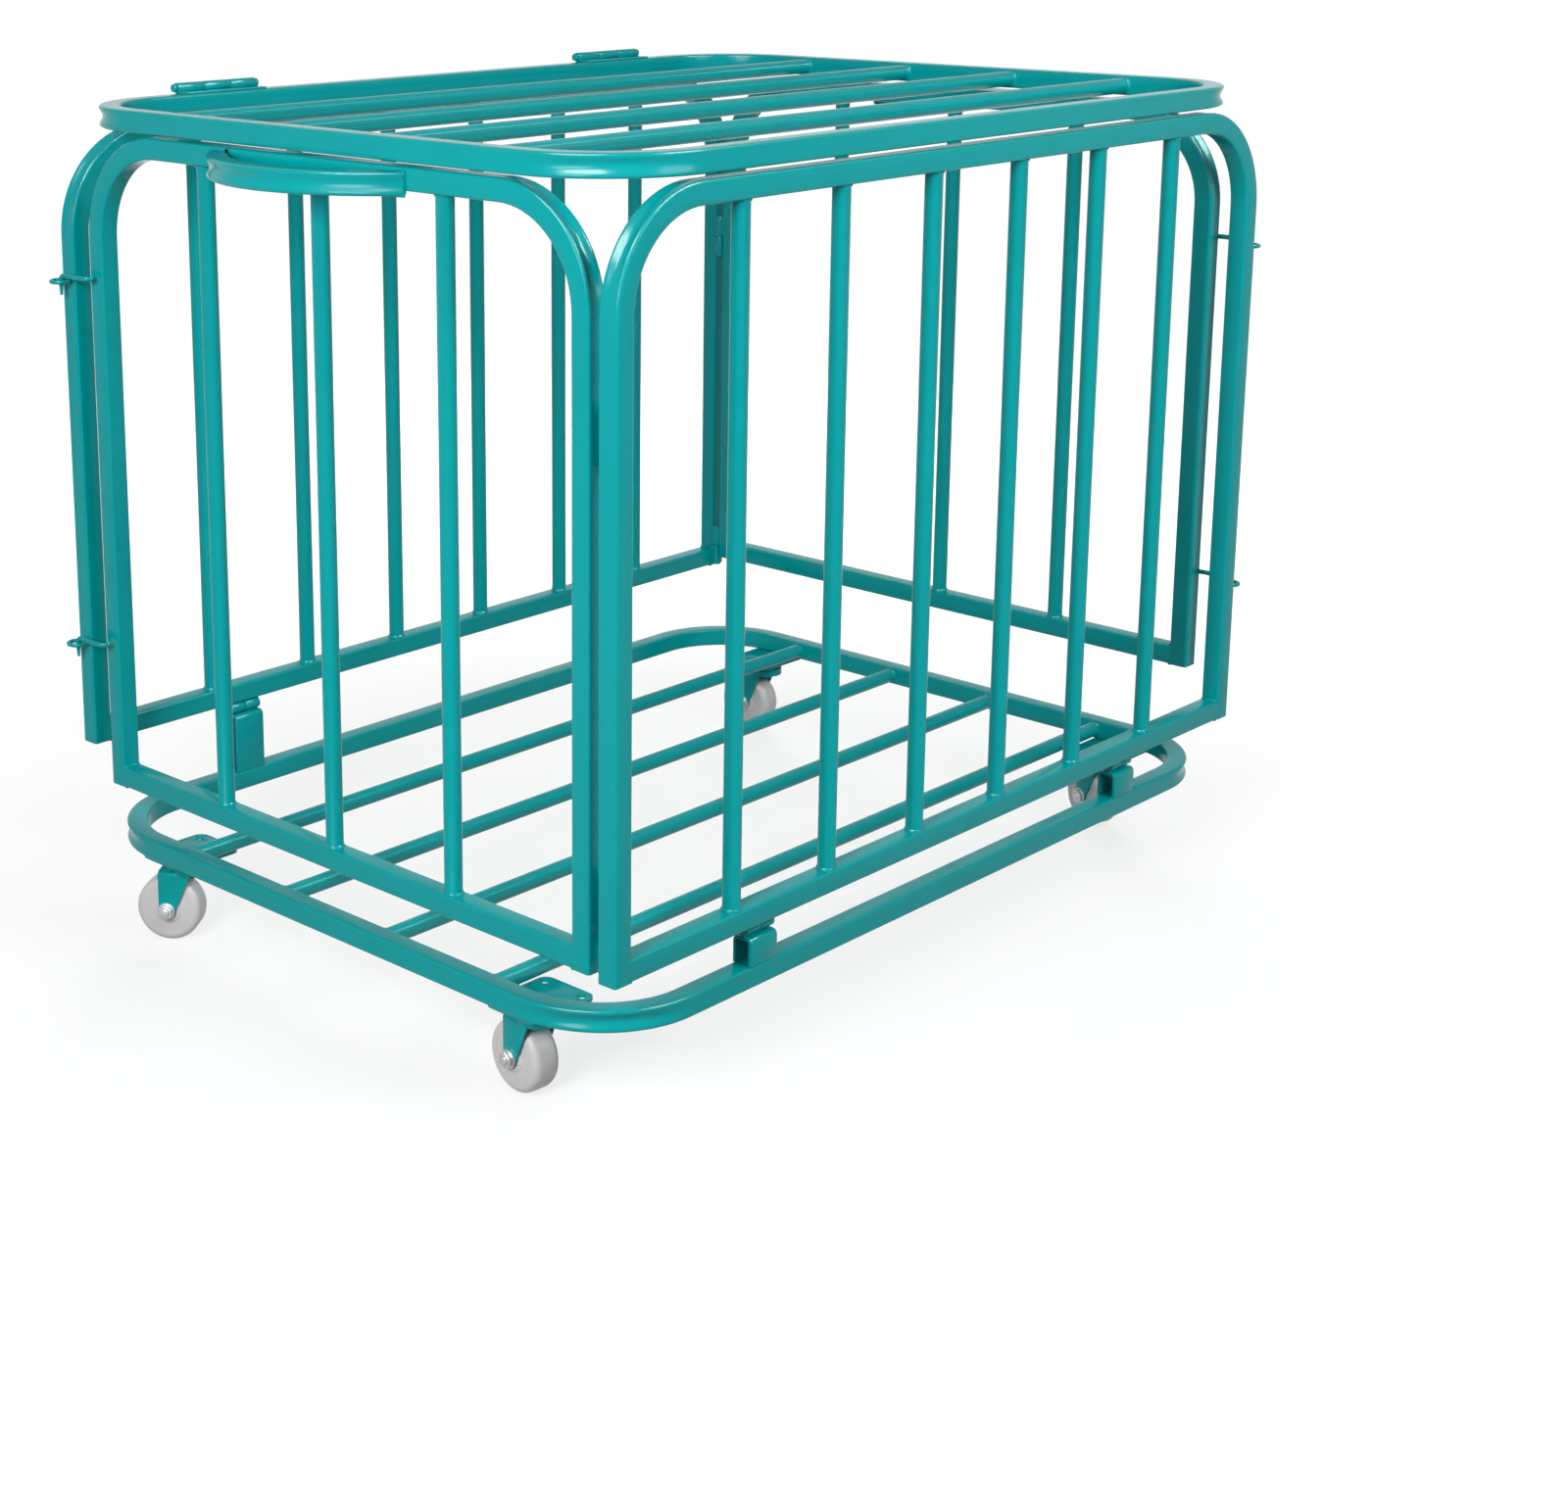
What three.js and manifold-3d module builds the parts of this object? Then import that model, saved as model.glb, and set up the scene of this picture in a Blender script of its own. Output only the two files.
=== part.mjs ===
// Folding ball cart: four cage panels and a hinged lid on a base ring that stands on four casters.
// Millimetres. +X runs along the cart, +Z is up, and the floor is at zero.
import * as THREE from 'three';
import { mergeVertices } from 'three/addons/utils/BufferGeometryUtils.js';
import Module from 'manifold-3d';

const wasm = await Module();
wasm.setup();

// Square tube and round bar that all the frames are welded from
const TUBE = 20;
const TUBE_WALL = 1.5;
const TUBE_CORNER = 2.5;
const BAR_DIAMETER = 16;
const WELD_GAP = 0.3;
const WELD_SINK = 0.5;

// The crease that the outer wall of a bent tube folds into
const CREASE_DEPTH = 3;
const CREASE_WIDTH = 10;

// Base ring on its casters
const BASE_END_OVERHANG = 5.5;
const BASE_SIDE_INSET = 4;
const BASE_BEND = 104;
const FLOOR_BARS = 4;

// Cage of two long panels and two end panels
const CAGE_LENGTH = 948;
const CAGE_WIDTH = 720;
const CAGE_BEND = 100;
const FRONT_HEIGHT = 640;
const FRONT_RISE = 38;
const REAR_RISE = 74;
const FAR_END_RISE = 88;
const SIDE_BARS = 6;
const SIDE_BAR_INSET = 154;
const END_BARS = 3;
const END_BAR_INSET = 169;
const END_INSET = 5;
const END_HINGE_GAP = 14;
const END_LATCH_GAP = 18;

// Lid on top of the cage
const LID_END_OVERHANG = 2;
const LID_SIDE_INSET = 2;
const LID_BEND = 105;
const LID_GAP = 4;
const LID_BARS = 4;

// Butt hinges of the lid
const LID_HINGE_INSET = 194;
const LID_HINGE_LENGTH = 98;
const LID_KNUCKLE_DIAMETER = 10;
const LID_KNUCKLES = 3;
const KNUCKLE_PLAY = 0.5;
const LEAF_THICKNESS = 2;
const REAR_LEAF_DROP = 18;
const LID_LEAF_WIDTH = 21;
const LID_PIN_DIAMETER = 5;
const LID_PIN_HEAD = 8;
const LID_PIN_HEAD_LENGTH = 3;
const PIN_CLEARANCE = 0.3;

// Weld-on pin hinges between each end panel and its long panel
const END_HINGE_RISE = 63;
const END_HINGE_DROP = 194;
const END_BARREL_DIAMETER = 10;
const END_BARREL_LENGTH = 24;
const END_BARREL_WEB = 6;
const END_PIN_DIAMETER = 5;
const END_AXIS_DEPTH = 15;

// Hooks that hold the free edge of each end panel, and the ring eyes that they drop into
const HOOK_RISE = 147;
const HOOK_DROP = 136;
const HOOK_ROD = 5;
const HOOK_PIVOT_INSET = 15;
const HOOK_STANDOFF = 15;
const HOOK_BEND = 6;
const HOOK_TIP = 19;
const HOOK_HOLE_CLEARANCE = 0.35;
const EYE_WIRE = 4;
const EYE_BORE = 13;
const EYE_BELOW_ROD = 6;
const EYE_SHIFT = 1.5;
const EYE_FROM_EDGE = 7.5;

// Push handle: a flat bow of the same tube on each end panel
const HANDLE_CHORD = 254;
const HANDLE_SAG = 60;
const HANDLE_SHIFT = 8;
const HANDLE_BELOW_TOP = 4;

// Hinge brackets that carry the long panels above the base ring
const BRACKET_INSET = 191;
const BRACKET_LENGTH = 35;
const BRACKET_SHEET = 3;
const BRACKET_ROUND = 5;
const BARREL_DIAMETER = 12;
const BARREL_PIN = 6;
const BARREL_LENGTH = 18;
const BARREL_WEB = 5;

// Swivel casters
const CASTER_END_INSET = 41.5;
const CASTER_SIDE_INSET = 116;
const CASTER_TRAIL = 21;
const PLATE_LENGTH = 76;
const PLATE_WIDTH = 62;
const PLATE_THICKNESS = 3;
const PLATE_ROUND = 10;
const PLATE_HOLE = 8;
const PLATE_HOLE_INSET_X = 10;
const PLATE_HOLE_INSET_Y = 9;
const RACE_DIAMETER = 40;
const RACE_HEIGHT = 6.5;
const RACE_PLAY = 0.4;
const FORK_SHEET = 2.5;
const FORK_TREAD_CLEARANCE = 5.8;
const FORK_ROUND = 5;
const FORK_LEG_TOP = 38;
const FORK_LEG_FOOT = 8;
const FORK_REAR_ANGLE = THREE.MathUtils.degToRad(198);
const KINGPIN_DIAMETER = 10;
const KINGPIN_HEAD = 16;
const KINGPIN_HEAD_HEIGHT = 5;
const KINGPIN_CHAMFER = 1;
const WHEEL_DIAMETER = 65;
const WHEEL_WIDTH = 28;
const WHEEL_SHOULDER = 7;
const HUB_DIAMETER = 24;
const HUB_LENGTH = 30;
const HUB_PLAY = 0.5;
const AXLE_DIAMETER = 8;
const AXLE_CLEARANCE = 0.4;
const HEX_WIDTH = 13;
const HEX_HEIGHT = 5.3;
const AXLE_END = 2;
const SWIVEL_TURNS = { front_near: 84, front_far: 68, rear_near: 124, rear_far: 96 };

// Fineness of the facets
const BEND_STEPS = 6;
const BAR_SIDES = 12;
const CORNER_ARC_STEPS = 2;
const ROD_SIDES = 8;
const WIRE_SIDES = 6;
const ROD_STEPS = 12;
const BARREL_SIDES = 12;
const RING_SIDES = 12;
const WHEEL_SIDES = 18;
const HEX_SIDES = 6;
const CUT_OVERRUN = 2;

// Sizes and heights worked out from the ones above
const BASE_LENGTH = CAGE_LENGTH + 2 * BASE_END_OVERHANG;
const BASE_WIDTH = CAGE_WIDTH - 2 * BASE_SIDE_INSET;
const LID_LENGTH = CAGE_LENGTH + 2 * LID_END_OVERHANG;
const LID_WIDTH = CAGE_WIDTH - 2 * LID_SIDE_INSET;
const FLOOR_BAR_PITCH = (BASE_WIDTH - TUBE) / (FLOOR_BARS + 1);
const LID_BAR_PITCH = (LID_WIDTH - TUBE) / (LID_BARS + 1);
const SIDE_BAR_PITCH = (CAGE_LENGTH - 2 * SIDE_BAR_INSET) / (SIDE_BARS - 1);
const BRACKET_OFFSET = CAGE_LENGTH / 2 - BRACKET_INSET;
const LID_HINGE_OFFSET = LID_LENGTH / 2 - LID_HINGE_INSET;
const CASTER_X = BASE_LENGTH / 2 - CASTER_END_INSET;
const CASTER_Y = BASE_WIDTH / 2 - CASTER_SIDE_INSET;
const FORK_CROWN = WHEEL_DIAMETER + FORK_TREAD_CLEARANCE + FORK_SHEET;
const CASTER_HEIGHT = FORK_CROWN + 2 * RACE_HEIGHT + RACE_PLAY + PLATE_THICKNESS + WELD_GAP;
const BASE_TOP = CASTER_HEIGHT + TUBE;
const FRONT_BOTTOM = BASE_TOP + FRONT_RISE;
const REAR_BOTTOM = BASE_TOP + REAR_RISE;
const FAR_END_BOTTOM = BASE_TOP + FAR_END_RISE;
const CAGE_TOP = FRONT_BOTTOM + FRONT_HEIGHT;
const END_HINGE_HEIGHTS = [FRONT_BOTTOM + END_HINGE_RISE, CAGE_TOP - END_HINGE_DROP];
const HOOK_HEIGHTS = [FRONT_BOTTOM + HOOK_RISE, CAGE_TOP - HOOK_DROP];
const LID_BOTTOM = CAGE_TOP + LID_GAP;
const LID_TOP = LID_BOTTOM + TUBE;
const END_WIDTH = CAGE_WIDTH - 2 * TUBE - END_HINGE_GAP - END_LATCH_GAP;
const END_BAR_PITCH = (END_WIDTH - 2 * END_BAR_INSET) / (END_BARS - 1);
const BARREL_AXIS_DROP = BARREL_DIAMETER / 2 + WELD_GAP;
const LID_AXIS_Z = LID_TOP + LID_KNUCKLE_DIAMETER / 2;
const LID_AXIS_Y = CAGE_WIDTH / 2 + LEAF_THICKNESS / 2;
const REAR_OVERHANG = LID_AXIS_Y + LID_KNUCKLE_DIAMETER / 2 - CAGE_WIDTH / 2;

const TEAL_PAINT = { color: 0x0e9c9c, roughness: 0.28, metalness: 0.1 };
const ZINC = { color: 0xb9bec0, roughness: 0.35, metalness: 0.9 };
const NYLON = { color: 0xc9c8c6, roughness: 0.5, metalness: 0 };

// A closed three.js geometry as a solid that can be joined and cut.
function solidOf(geometry) {
  geometry.deleteAttribute('normal');
  geometry.deleteAttribute('uv');
  const merged = mergeVertices(geometry);
  const vertProperties = new Float32Array(merged.attributes.position.array);
  const triVerts = new Uint32Array(merged.index.array);
  return new wasm.Manifold(new wasm.Mesh({ numProp: 3, vertProperties, triVerts }));
}

// A joined or cut solid as a three.js geometry.
function geometryOf(solid) {
  const { vertProperties, triVerts, numProp } = solid.getMesh();
  const points = [];
  for (let i = 0; i < vertProperties.length; i += numProp) {
    points.push(vertProperties[i], vertProperties[i + 1], vertProperties[i + 2]);
  }
  const geometry = new THREE.BufferGeometry();
  geometry.setAttribute('position', new THREE.Float32BufferAttribute(points, 3));
  geometry.setIndex(Array.from(triVerts));
  return geometry;
}

function join(solids) {
  return solids.reduce((whole, piece) => whole.add(piece));
}

// One named piece in its own material.
function piece(name, geometry, look) {
  const flat = geometry.index ? geometry.toNonIndexed() : geometry;
  flat.computeVertexNormals();
  const mesh = new THREE.Mesh(flat, new THREE.MeshStandardMaterial(look));
  mesh.name = name;
  return mesh;
}

// The outline of a square tube: out is measured from the bend's inside, across is square to it.
function tubeSection(side, corner, crease) {
  const half = side / 2;
  const centre = half - corner;
  const points = [];
  points.push([half, -CREASE_WIDTH / 2]);
  points.push([half - crease, 0]);
  points.push([half, CREASE_WIDTH / 2]);
  const cornerEnds = corner > 0 ? [0, 1] : [0];
  [[1, 1], [-1, 1], [-1, -1], [1, -1]].forEach(([outSign, acrossSign], quarter) => {
    cornerEnds.forEach((end) => {
      const angle = (quarter + end) * Math.PI / 2;
      const out = outSign * centre + corner * Math.cos(angle);
      points.push([out, acrossSign * centre + corner * Math.sin(angle)]);
    });
  });
  return points;
}

// Places along a flat path, each with its outward direction and how deep its outer wall is creased.
function stationsAlong(path, closed, deepest) {
  const stations = [];
  path.curves.forEach((curve, index) => {
    const turn = curve.isEllipseCurve ? Math.abs(curve.aEndAngle - curve.aStartAngle) : 0;
    const steps = Math.max(1, Math.round(BEND_STEPS * turn / (Math.PI / 2)));
    for (let step = index === 0 ? 0 : 1; step <= steps; step++) {
      const share = step / steps;
      const tangent = curve.getTangent(share);
      const crease = turn > 0 ? deepest * Math.sin(Math.PI * share) : 0;
      const outward = new THREE.Vector2(tangent.y, -tangent.x);
      stations.push({ point: curve.getPoint(share), outward, crease });
    }
  });
  if (closed) {
    stations.pop();
  }
  return stations;
}

// A square tube swept along a flat path, as a solid in the XY plane.
function sweptTube(path, closed, side = TUBE, corner = TUBE_CORNER, deepest = CREASE_DEPTH) {
  const stations = stationsAlong(path, closed, deepest);
  const positions = [];
  const indices = [];
  stations.forEach(({ point, outward, crease }) => {
    tubeSection(side, corner, crease).forEach(([out, across]) => {
      positions.push(point.x + outward.x * out, point.y + outward.y * out, across);
    });
  });
  const count = positions.length / 3 / stations.length;
  const spans = closed ? stations.length : stations.length - 1;
  for (let ring = 0; ring < spans; ring++) {
    const next = (ring + 1) % stations.length;
    for (let i = 0; i < count; i++) {
      const j = (i + 1) % count;
      indices.push(ring * count + i, next * count + i, ring * count + j);
      indices.push(ring * count + j, next * count + i, next * count + j);
    }
  }
  if (!closed) {
    closeEnds(stations, positions, indices, count);
  }
  const geometry = new THREE.BufferGeometry();
  geometry.setAttribute('position', new THREE.Float32BufferAttribute(positions, 3));
  geometry.setIndex(indices);
  return solidOf(geometry);
}

// Flat ends on an open sweep, fanned from the middle of the tube.
function closeEnds(stations, positions, indices, count) {
  const first = positions.length / 3;
  const last = first + 1;
  const lastRing = (stations.length - 1) * count;
  [stations[0], stations[stations.length - 1]].forEach(({ point }) => {
    positions.push(point.x, point.y, 0);
  });
  for (let i = 0; i < count; i++) {
    const j = (i + 1) % count;
    indices.push(first, i, j);
    indices.push(last, lastRing + j, lastRing + i);
  }
}

// Centre line of a ring with four round corners.
function ringPath(length, width, bend) {
  const radius = bend - TUBE / 2;
  const x = length / 2 - bend;
  const y = width / 2 - bend;
  const path = new THREE.Path();
  path.moveTo(x + radius, -y);
  path.lineTo(x + radius, y);
  path.absarc(x, y, radius, 0, Math.PI / 2);
  path.lineTo(-x, y + radius);
  path.absarc(-x, y, radius, Math.PI / 2, Math.PI);
  path.lineTo(-x - radius, -y);
  path.absarc(-x, -y, radius, Math.PI, Math.PI * 3 / 2);
  path.lineTo(x, -y - radius);
  path.absarc(x, -y, radius, -Math.PI / 2, 0);
  return path;
}

// Centre line of a hoop: two posts that stand on zero, bent over into a top rail.
function hoopPath(width, height, overrun) {
  const radius = CAGE_BEND - TUBE / 2;
  const x = width / 2 - CAGE_BEND;
  const y = height - CAGE_BEND;
  const path = new THREE.Path();
  path.moveTo(x + radius, -overrun);
  path.lineTo(x + radius, y);
  path.absarc(x, y, radius, 0, Math.PI / 2);
  path.lineTo(-x, y + radius);
  path.absarc(-x, y, radius, Math.PI / 2, Math.PI);
  path.lineTo(-x - radius, -overrun);
  return path;
}

// A panel's frame: a hollow bent hoop, open at the feet, with a bottom rail welded between its posts.
function panelFrame(width, height) {
  const outside = sweptTube(hoopPath(width, height, 0), false);
  const boreSide = TUBE - 2 * TUBE_WALL;
  const borePath = hoopPath(width, height, CUT_OVERRUN);
  const bore = sweptTube(borePath, false, boreSide, 0);
  const rail = new THREE.Path();
  const reach = width / 2 - TUBE + WELD_SINK;
  rail.moveTo(reach, TUBE / 2);
  rail.lineTo(-reach, TUBE / 2);
  return outside.subtract(bore).add(sweptTube(rail, false));
}

// A solid that stands in the XY plane, stood up in the XZ plane.
function stoodUp(solid) {
  return solidOf(geometryOf(solid).rotateX(Math.PI / 2));
}

function rod(diameter, length, sides) {
  return new THREE.CylinderGeometry(diameter / 2, diameter / 2, length, sides);
}

// A barrel with a bore through it, along Z from zero.
function barrel(diameter, bore, length) {
  const shape = new THREE.Shape();
  shape.absarc(0, 0, diameter / 2, 0, Math.PI * 2);
  const hole = new THREE.Path();
  hole.absarc(0, 0, bore / 2, 0, Math.PI * 2, true);
  shape.holes.push(hole);
  const settings = { depth: length, bevelEnabled: false, curveSegments: BARREL_SIDES / 2 };
  return new THREE.ExtrudeGeometry(shape, settings);
}

// A block between two corners.
function block(low, high) {
  const size = high.map((value, axis) => value - low[axis]);
  const middle = high.map((value, axis) => (value + low[axis]) / 2);
  return new THREE.BoxGeometry(...size).translate(...middle);
}

// Places of count copies at one pitch, centred on zero.
function spread(count, pitch) {
  return Array.from({ length: count }, (_, index) => (index - (count - 1) / 2) * pitch);
}

// Base: ring, floor bars and the four brackets that carry the long panels.
function baseRing() {
  const ring = sweptTube(ringPath(BASE_LENGTH, BASE_WIDTH, BASE_BEND), true);
  const mesh = piece('base_ring', geometryOf(ring), TEAL_PAINT);
  mesh.position.z = CASTER_HEIGHT + TUBE / 2;
  return mesh;
}

function lengthwiseBars(name, ringLength, count, pitch, height) {
  const length = ringLength - 2 * TUBE - 2 * WELD_GAP;
  return spread(count, pitch).map((y, index) => {
    const geometry = rod(BAR_DIAMETER, length, BAR_SIDES).rotateZ(Math.PI / 2);
    const mesh = piece(`${name}_${index + 1}`, geometry, TEAL_PAINT);
    mesh.position.set(0, y, height);
    return mesh;
  });
}

// The section of a folded sheet bracket, open below, seen along the rail.
function bracketSection(height, inset) {
  const half = TUBE / 2 - inset;
  const round = BRACKET_ROUND - inset;
  const foot = inset > 0 ? -CUT_OVERRUN : 0;
  const shape = new THREE.Shape();
  shape.moveTo(half, foot);
  shape.lineTo(half, height - inset - round);
  shape.absarc(half - round, height - inset - round, round, 0, Math.PI / 2);
  shape.lineTo(round - half, height - inset);
  shape.absarc(round - half, height - inset - round, round, Math.PI / 2, Math.PI);
  shape.lineTo(-half, foot);
  shape.closePath();
  return shape;
}

// A bracket with its barrel and pin: x along the rail, y across it, foot on zero.
function hingeBracket(rise) {
  const axisHeight = rise - BARREL_AXIS_DROP - WELD_GAP;
  const height = axisHeight - BARREL_AXIS_DROP;
  const extruded = (inset, depth) => {
    const settings = { depth, bevelEnabled: false, curveSegments: CORNER_ARC_STEPS };
    return new THREE.ExtrudeGeometry(bracketSection(height, inset), settings);
  };
  const outside = extruded(0, BRACKET_LENGTH);
  const inside = extruded(BRACKET_SHEET, BRACKET_LENGTH + 2 * CUT_OVERRUN);
  inside.translate(0, 0, -CUT_OVERRUN);
  const channel = solidOf(outside).subtract(solidOf(inside));
  const pinLength = 2 * BARREL_LENGTH + KNUCKLE_PLAY;
  const knuckle = rod(BARREL_DIAMETER, BARREL_LENGTH, BARREL_SIDES);
  knuckle.rotateX(Math.PI / 2).translate(0, axisHeight, BARREL_LENGTH / 2);
  const pin = rod(BARREL_PIN, pinLength, ROD_SIDES);
  pin.rotateX(Math.PI / 2).translate(0, axisHeight, pinLength / 2);
  const web = block(
    [-BARREL_WEB / 2, height - WELD_SINK, 0],
    [BARREL_WEB / 2, axisHeight, BARREL_LENGTH],
  );
  const whole = join([channel, ...[knuckle, pin, web].map(solidOf)]);
  const geometry = geometryOf(whole).translate(0, 0, -BRACKET_LENGTH / 2);
  return geometry.rotateX(Math.PI / 2).rotateZ(Math.PI / 2);
}

function baseBrackets() {
  const rails = [['front', -1, FRONT_RISE], ['rear', 1, REAR_RISE]];
  return rails.flatMap(([rail, side, rise]) => [['near', -1], ['far', 1]].map(([end, along]) => {
    const mesh = piece(`${rail}_bracket_${end}`, hingeBracket(rise), TEAL_PAINT);
    mesh.position.set(along * BRACKET_OFFSET, side * (BASE_WIDTH / 2 - TUBE / 2), BASE_TOP + WELD_GAP);
    mesh.rotation.z = side < 0 ? 0 : Math.PI;
    return mesh;
  }));
}

// The barrels under a long panel's bottom rail, in line with the ones on the brackets.
function panelBarrels(railShift) {
  const start = BARREL_LENGTH + KNUCKLE_PLAY - BRACKET_LENGTH / 2;
  const bore = BARREL_PIN + 2 * PIN_CLEARANCE;
  return [-1, 1].flatMap((along) => {
    const x = along * BRACKET_OFFSET + start;
    const tube = barrel(BARREL_DIAMETER, bore, BARREL_LENGTH).rotateX(Math.PI / 2).rotateZ(Math.PI / 2);
    const webFoot = bore / 2 + WELD_SINK - BARREL_AXIS_DROP;
    const web = block(
      [x, railShift - BARREL_WEB / 2, webFoot],
      [x + BARREL_LENGTH, railShift + BARREL_WEB / 2, WELD_SINK],
    );
    return [solidOf(tube.translate(x, railShift, -BARREL_AXIS_DROP)), solidOf(web)];
  });
}

// The lower half of each end hinge, with its pin, on the inner face of a long panel.
function pinHalves(bottom) {
  return END_HINGE_HEIGHTS.flatMap((height) => {
    const z = height - bottom;
    const half = rod(END_BARREL_DIAMETER, END_BARREL_LENGTH, BARREL_SIDES);
    half.rotateX(Math.PI / 2).translate(0, 0, z - END_BARREL_LENGTH / 2);
    const pinLength = 2 * END_BARREL_LENGTH - END_PIN_DIAMETER;
    const pin = rod(END_PIN_DIAMETER, pinLength, ROD_SIDES);
    pin.rotateX(Math.PI / 2).translate(0, 0, z - END_BARREL_LENGTH + pinLength / 2);
    const reach = END_HINGE_GAP / 2 + WELD_SINK;
    const web = block(
      [-END_BARREL_WEB / 2, -reach, z - END_BARREL_LENGTH],
      [END_BARREL_WEB / 2, 0, z],
    );
    return [half, pin, web];
  });
}

// The upper half of each end hinge, with its blind bore, on the edge of an end panel.
function boredHalves(bottom) {
  return END_HINGE_HEIGHTS.map((height) => {
    const z = height - bottom + KNUCKLE_PLAY;
    const half = rod(END_BARREL_DIAMETER, END_BARREL_LENGTH, BARREL_SIDES);
    half.rotateX(Math.PI / 2).translate(0, 0, z + END_BARREL_LENGTH / 2);
    const reach = END_HINGE_GAP / 2 + WELD_SINK;
    const web = block(
      [-END_BARREL_WEB / 2, 0, z],
      [END_BARREL_WEB / 2, reach, z + END_BARREL_LENGTH],
    );
    const boreDepth = END_BARREL_LENGTH - END_PIN_DIAMETER + 2 * PIN_CLEARANCE;
    const bore = rod(END_PIN_DIAMETER + 2 * PIN_CLEARANCE, boreDepth + CUT_OVERRUN, ROD_SIDES);
    bore.rotateX(Math.PI / 2).translate(0, 0, z + boreDepth / 2 - CUT_OVERRUN / 2);
    return join([solidOf(half), solidOf(web)]).subtract(solidOf(bore));
  });
}

// A ring eye that lies flat and stands off a post on its stem, with the stem's foot on zero, toward -X.
function ringEye() {
  const reach = HOOK_STANDOFF - END_INSET;
  const radius = (EYE_BORE + EYE_WIRE) / 2;
  const ring = new THREE.TorusGeometry(radius, EYE_WIRE / 2, WIRE_SIDES, RING_SIDES);
  ring.translate(-reach, 0, 0);
  const stemLength = reach - radius + WELD_SINK;
  const stem = rod(EYE_WIRE, stemLength, ROD_SIDES).rotateZ(Math.PI / 2);
  stem.translate(WELD_SINK - stemLength / 2, 0, 0);
  return [ring, stem];
}

// A long panel in its own frame: its middle on the origin, its inner face toward +Y, feet on zero.
// The end hinge is at its -X end and the ring eyes are at its +X end.
function longPanelSolid(bottom) {
  const height = CAGE_TOP - bottom;
  const frame = stoodUp(panelFrame(CAGE_LENGTH, height));
  const axisX = END_INSET + END_AXIS_DEPTH - CAGE_LENGTH / 2;
  const axisY = TUBE / 2 + END_HINGE_GAP / 2;
  const hinges = pinHalves(bottom).map((geometry) => solidOf(geometry.translate(axisX, axisY, 0)));
  const eyeY = TUBE / 2 - EYE_FROM_EDGE - EYE_SHIFT;
  const eyes = HOOK_HEIGHTS.flatMap((level) => ringEye().map((geometry) => {
    geometry.rotateZ(Math.PI).translate(CAGE_LENGTH / 2, eyeY, level - EYE_BELOW_ROD - bottom);
    return solidOf(geometry);
  }));
  return join([frame, ...hinges, ...eyes, ...panelBarrels(BASE_SIDE_INSET)]);
}

// The vertical bars of a panel, between its bottom rail and its top rail.
function panelBars(name, count, pitch, height) {
  const length = height - 2 * TUBE - 2 * WELD_GAP;
  return spread(count, pitch).map((x, index) => {
    const geometry = rod(BAR_DIAMETER, length, BAR_SIDES);
    const mesh = piece(`${name}_bar_${index + 1}`, geometry, TEAL_PAINT);
    mesh.rotation.x = Math.PI / 2;
    mesh.position.set(x, 0, height / 2);
    return mesh;
  });
}

function frontPanel() {
  const group = new THREE.Group();
  group.add(piece('front_panel_frame', geometryOf(longPanelSolid(FRONT_BOTTOM)), TEAL_PAINT));
  group.add(...panelBars('front_panel', SIDE_BARS, SIDE_BAR_PITCH, FRONT_HEIGHT));
  group.position.set(0, TUBE / 2 - CAGE_WIDTH / 2, FRONT_BOTTOM);
  return group;
}

// Both hinge leaves of the lid and their knuckles, centred on the pin, which runs along X.
function hingeKnuckles(isLid) {
  const pitch = LID_HINGE_LENGTH / LID_KNUCKLES;
  const bore = LID_PIN_DIAMETER + 2 * PIN_CLEARANCE;
  return spread(LID_KNUCKLES, pitch).filter((_, index) => (index % 2 === 1) === isLid).map((x) => {
    const length = pitch - KNUCKLE_PLAY;
    const geometry = barrel(LID_KNUCKLE_DIAMETER, bore, length).rotateY(Math.PI / 2);
    return geometry.translate(x - length / 2, 0, 0);
  });
}

// The leaf on the rear panel is cut away under the lid's knuckle.
function rearLeaf() {
  const pitch = LID_HINGE_LENGTH / LID_KNUCKLES;
  const drop = LID_AXIS_Z - CAGE_TOP + REAR_LEAF_DROP;
  const round = LID_KNUCKLE_DIAMETER / 2;
  const half = LEAF_THICKNESS / 2;
  const top = -LID_PIN_DIAMETER / 2 - PIN_CLEARANCE - WELD_SINK;
  const end = LID_HINGE_LENGTH / 2 - KNUCKLE_PLAY;
  const leaf = block([-end, -half, -drop], [end, half, top]);
  const notchTop = -round - LEAF_THICKNESS;
  const notch = block(
    [-pitch / 2 - KNUCKLE_PLAY, -half - CUT_OVERRUN, notchTop],
    [pitch / 2 + KNUCKLE_PLAY, half + CUT_OVERRUN, top + CUT_OVERRUN],
  );
  return solidOf(leaf).subtract(solidOf(notch));
}

function lidLeaf() {
  const pitch = LID_HINGE_LENGTH / LID_KNUCKLES;
  const round = LID_KNUCKLE_DIAMETER / 2;
  const width = pitch - KNUCKLE_PLAY;
  const edge = LID_AXIS_Y - LID_WIDTH / 2;
  const tongue = block(
    [-width / 2, -edge - TUBE / 2, -round - WELD_SINK],
    [width / 2, 0, LEAF_THICKNESS - round],
  );
  const length = LID_HINGE_LENGTH - 2 * KNUCKLE_PLAY;
  const inboard = -edge - TUBE_CORNER;
  const plate = block(
    [-length / 2, -LID_LEAF_WIDTH, -round - WELD_SINK],
    [length / 2, inboard, LEAF_THICKNESS - round],
  );
  return [tongue, plate];
}

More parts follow.
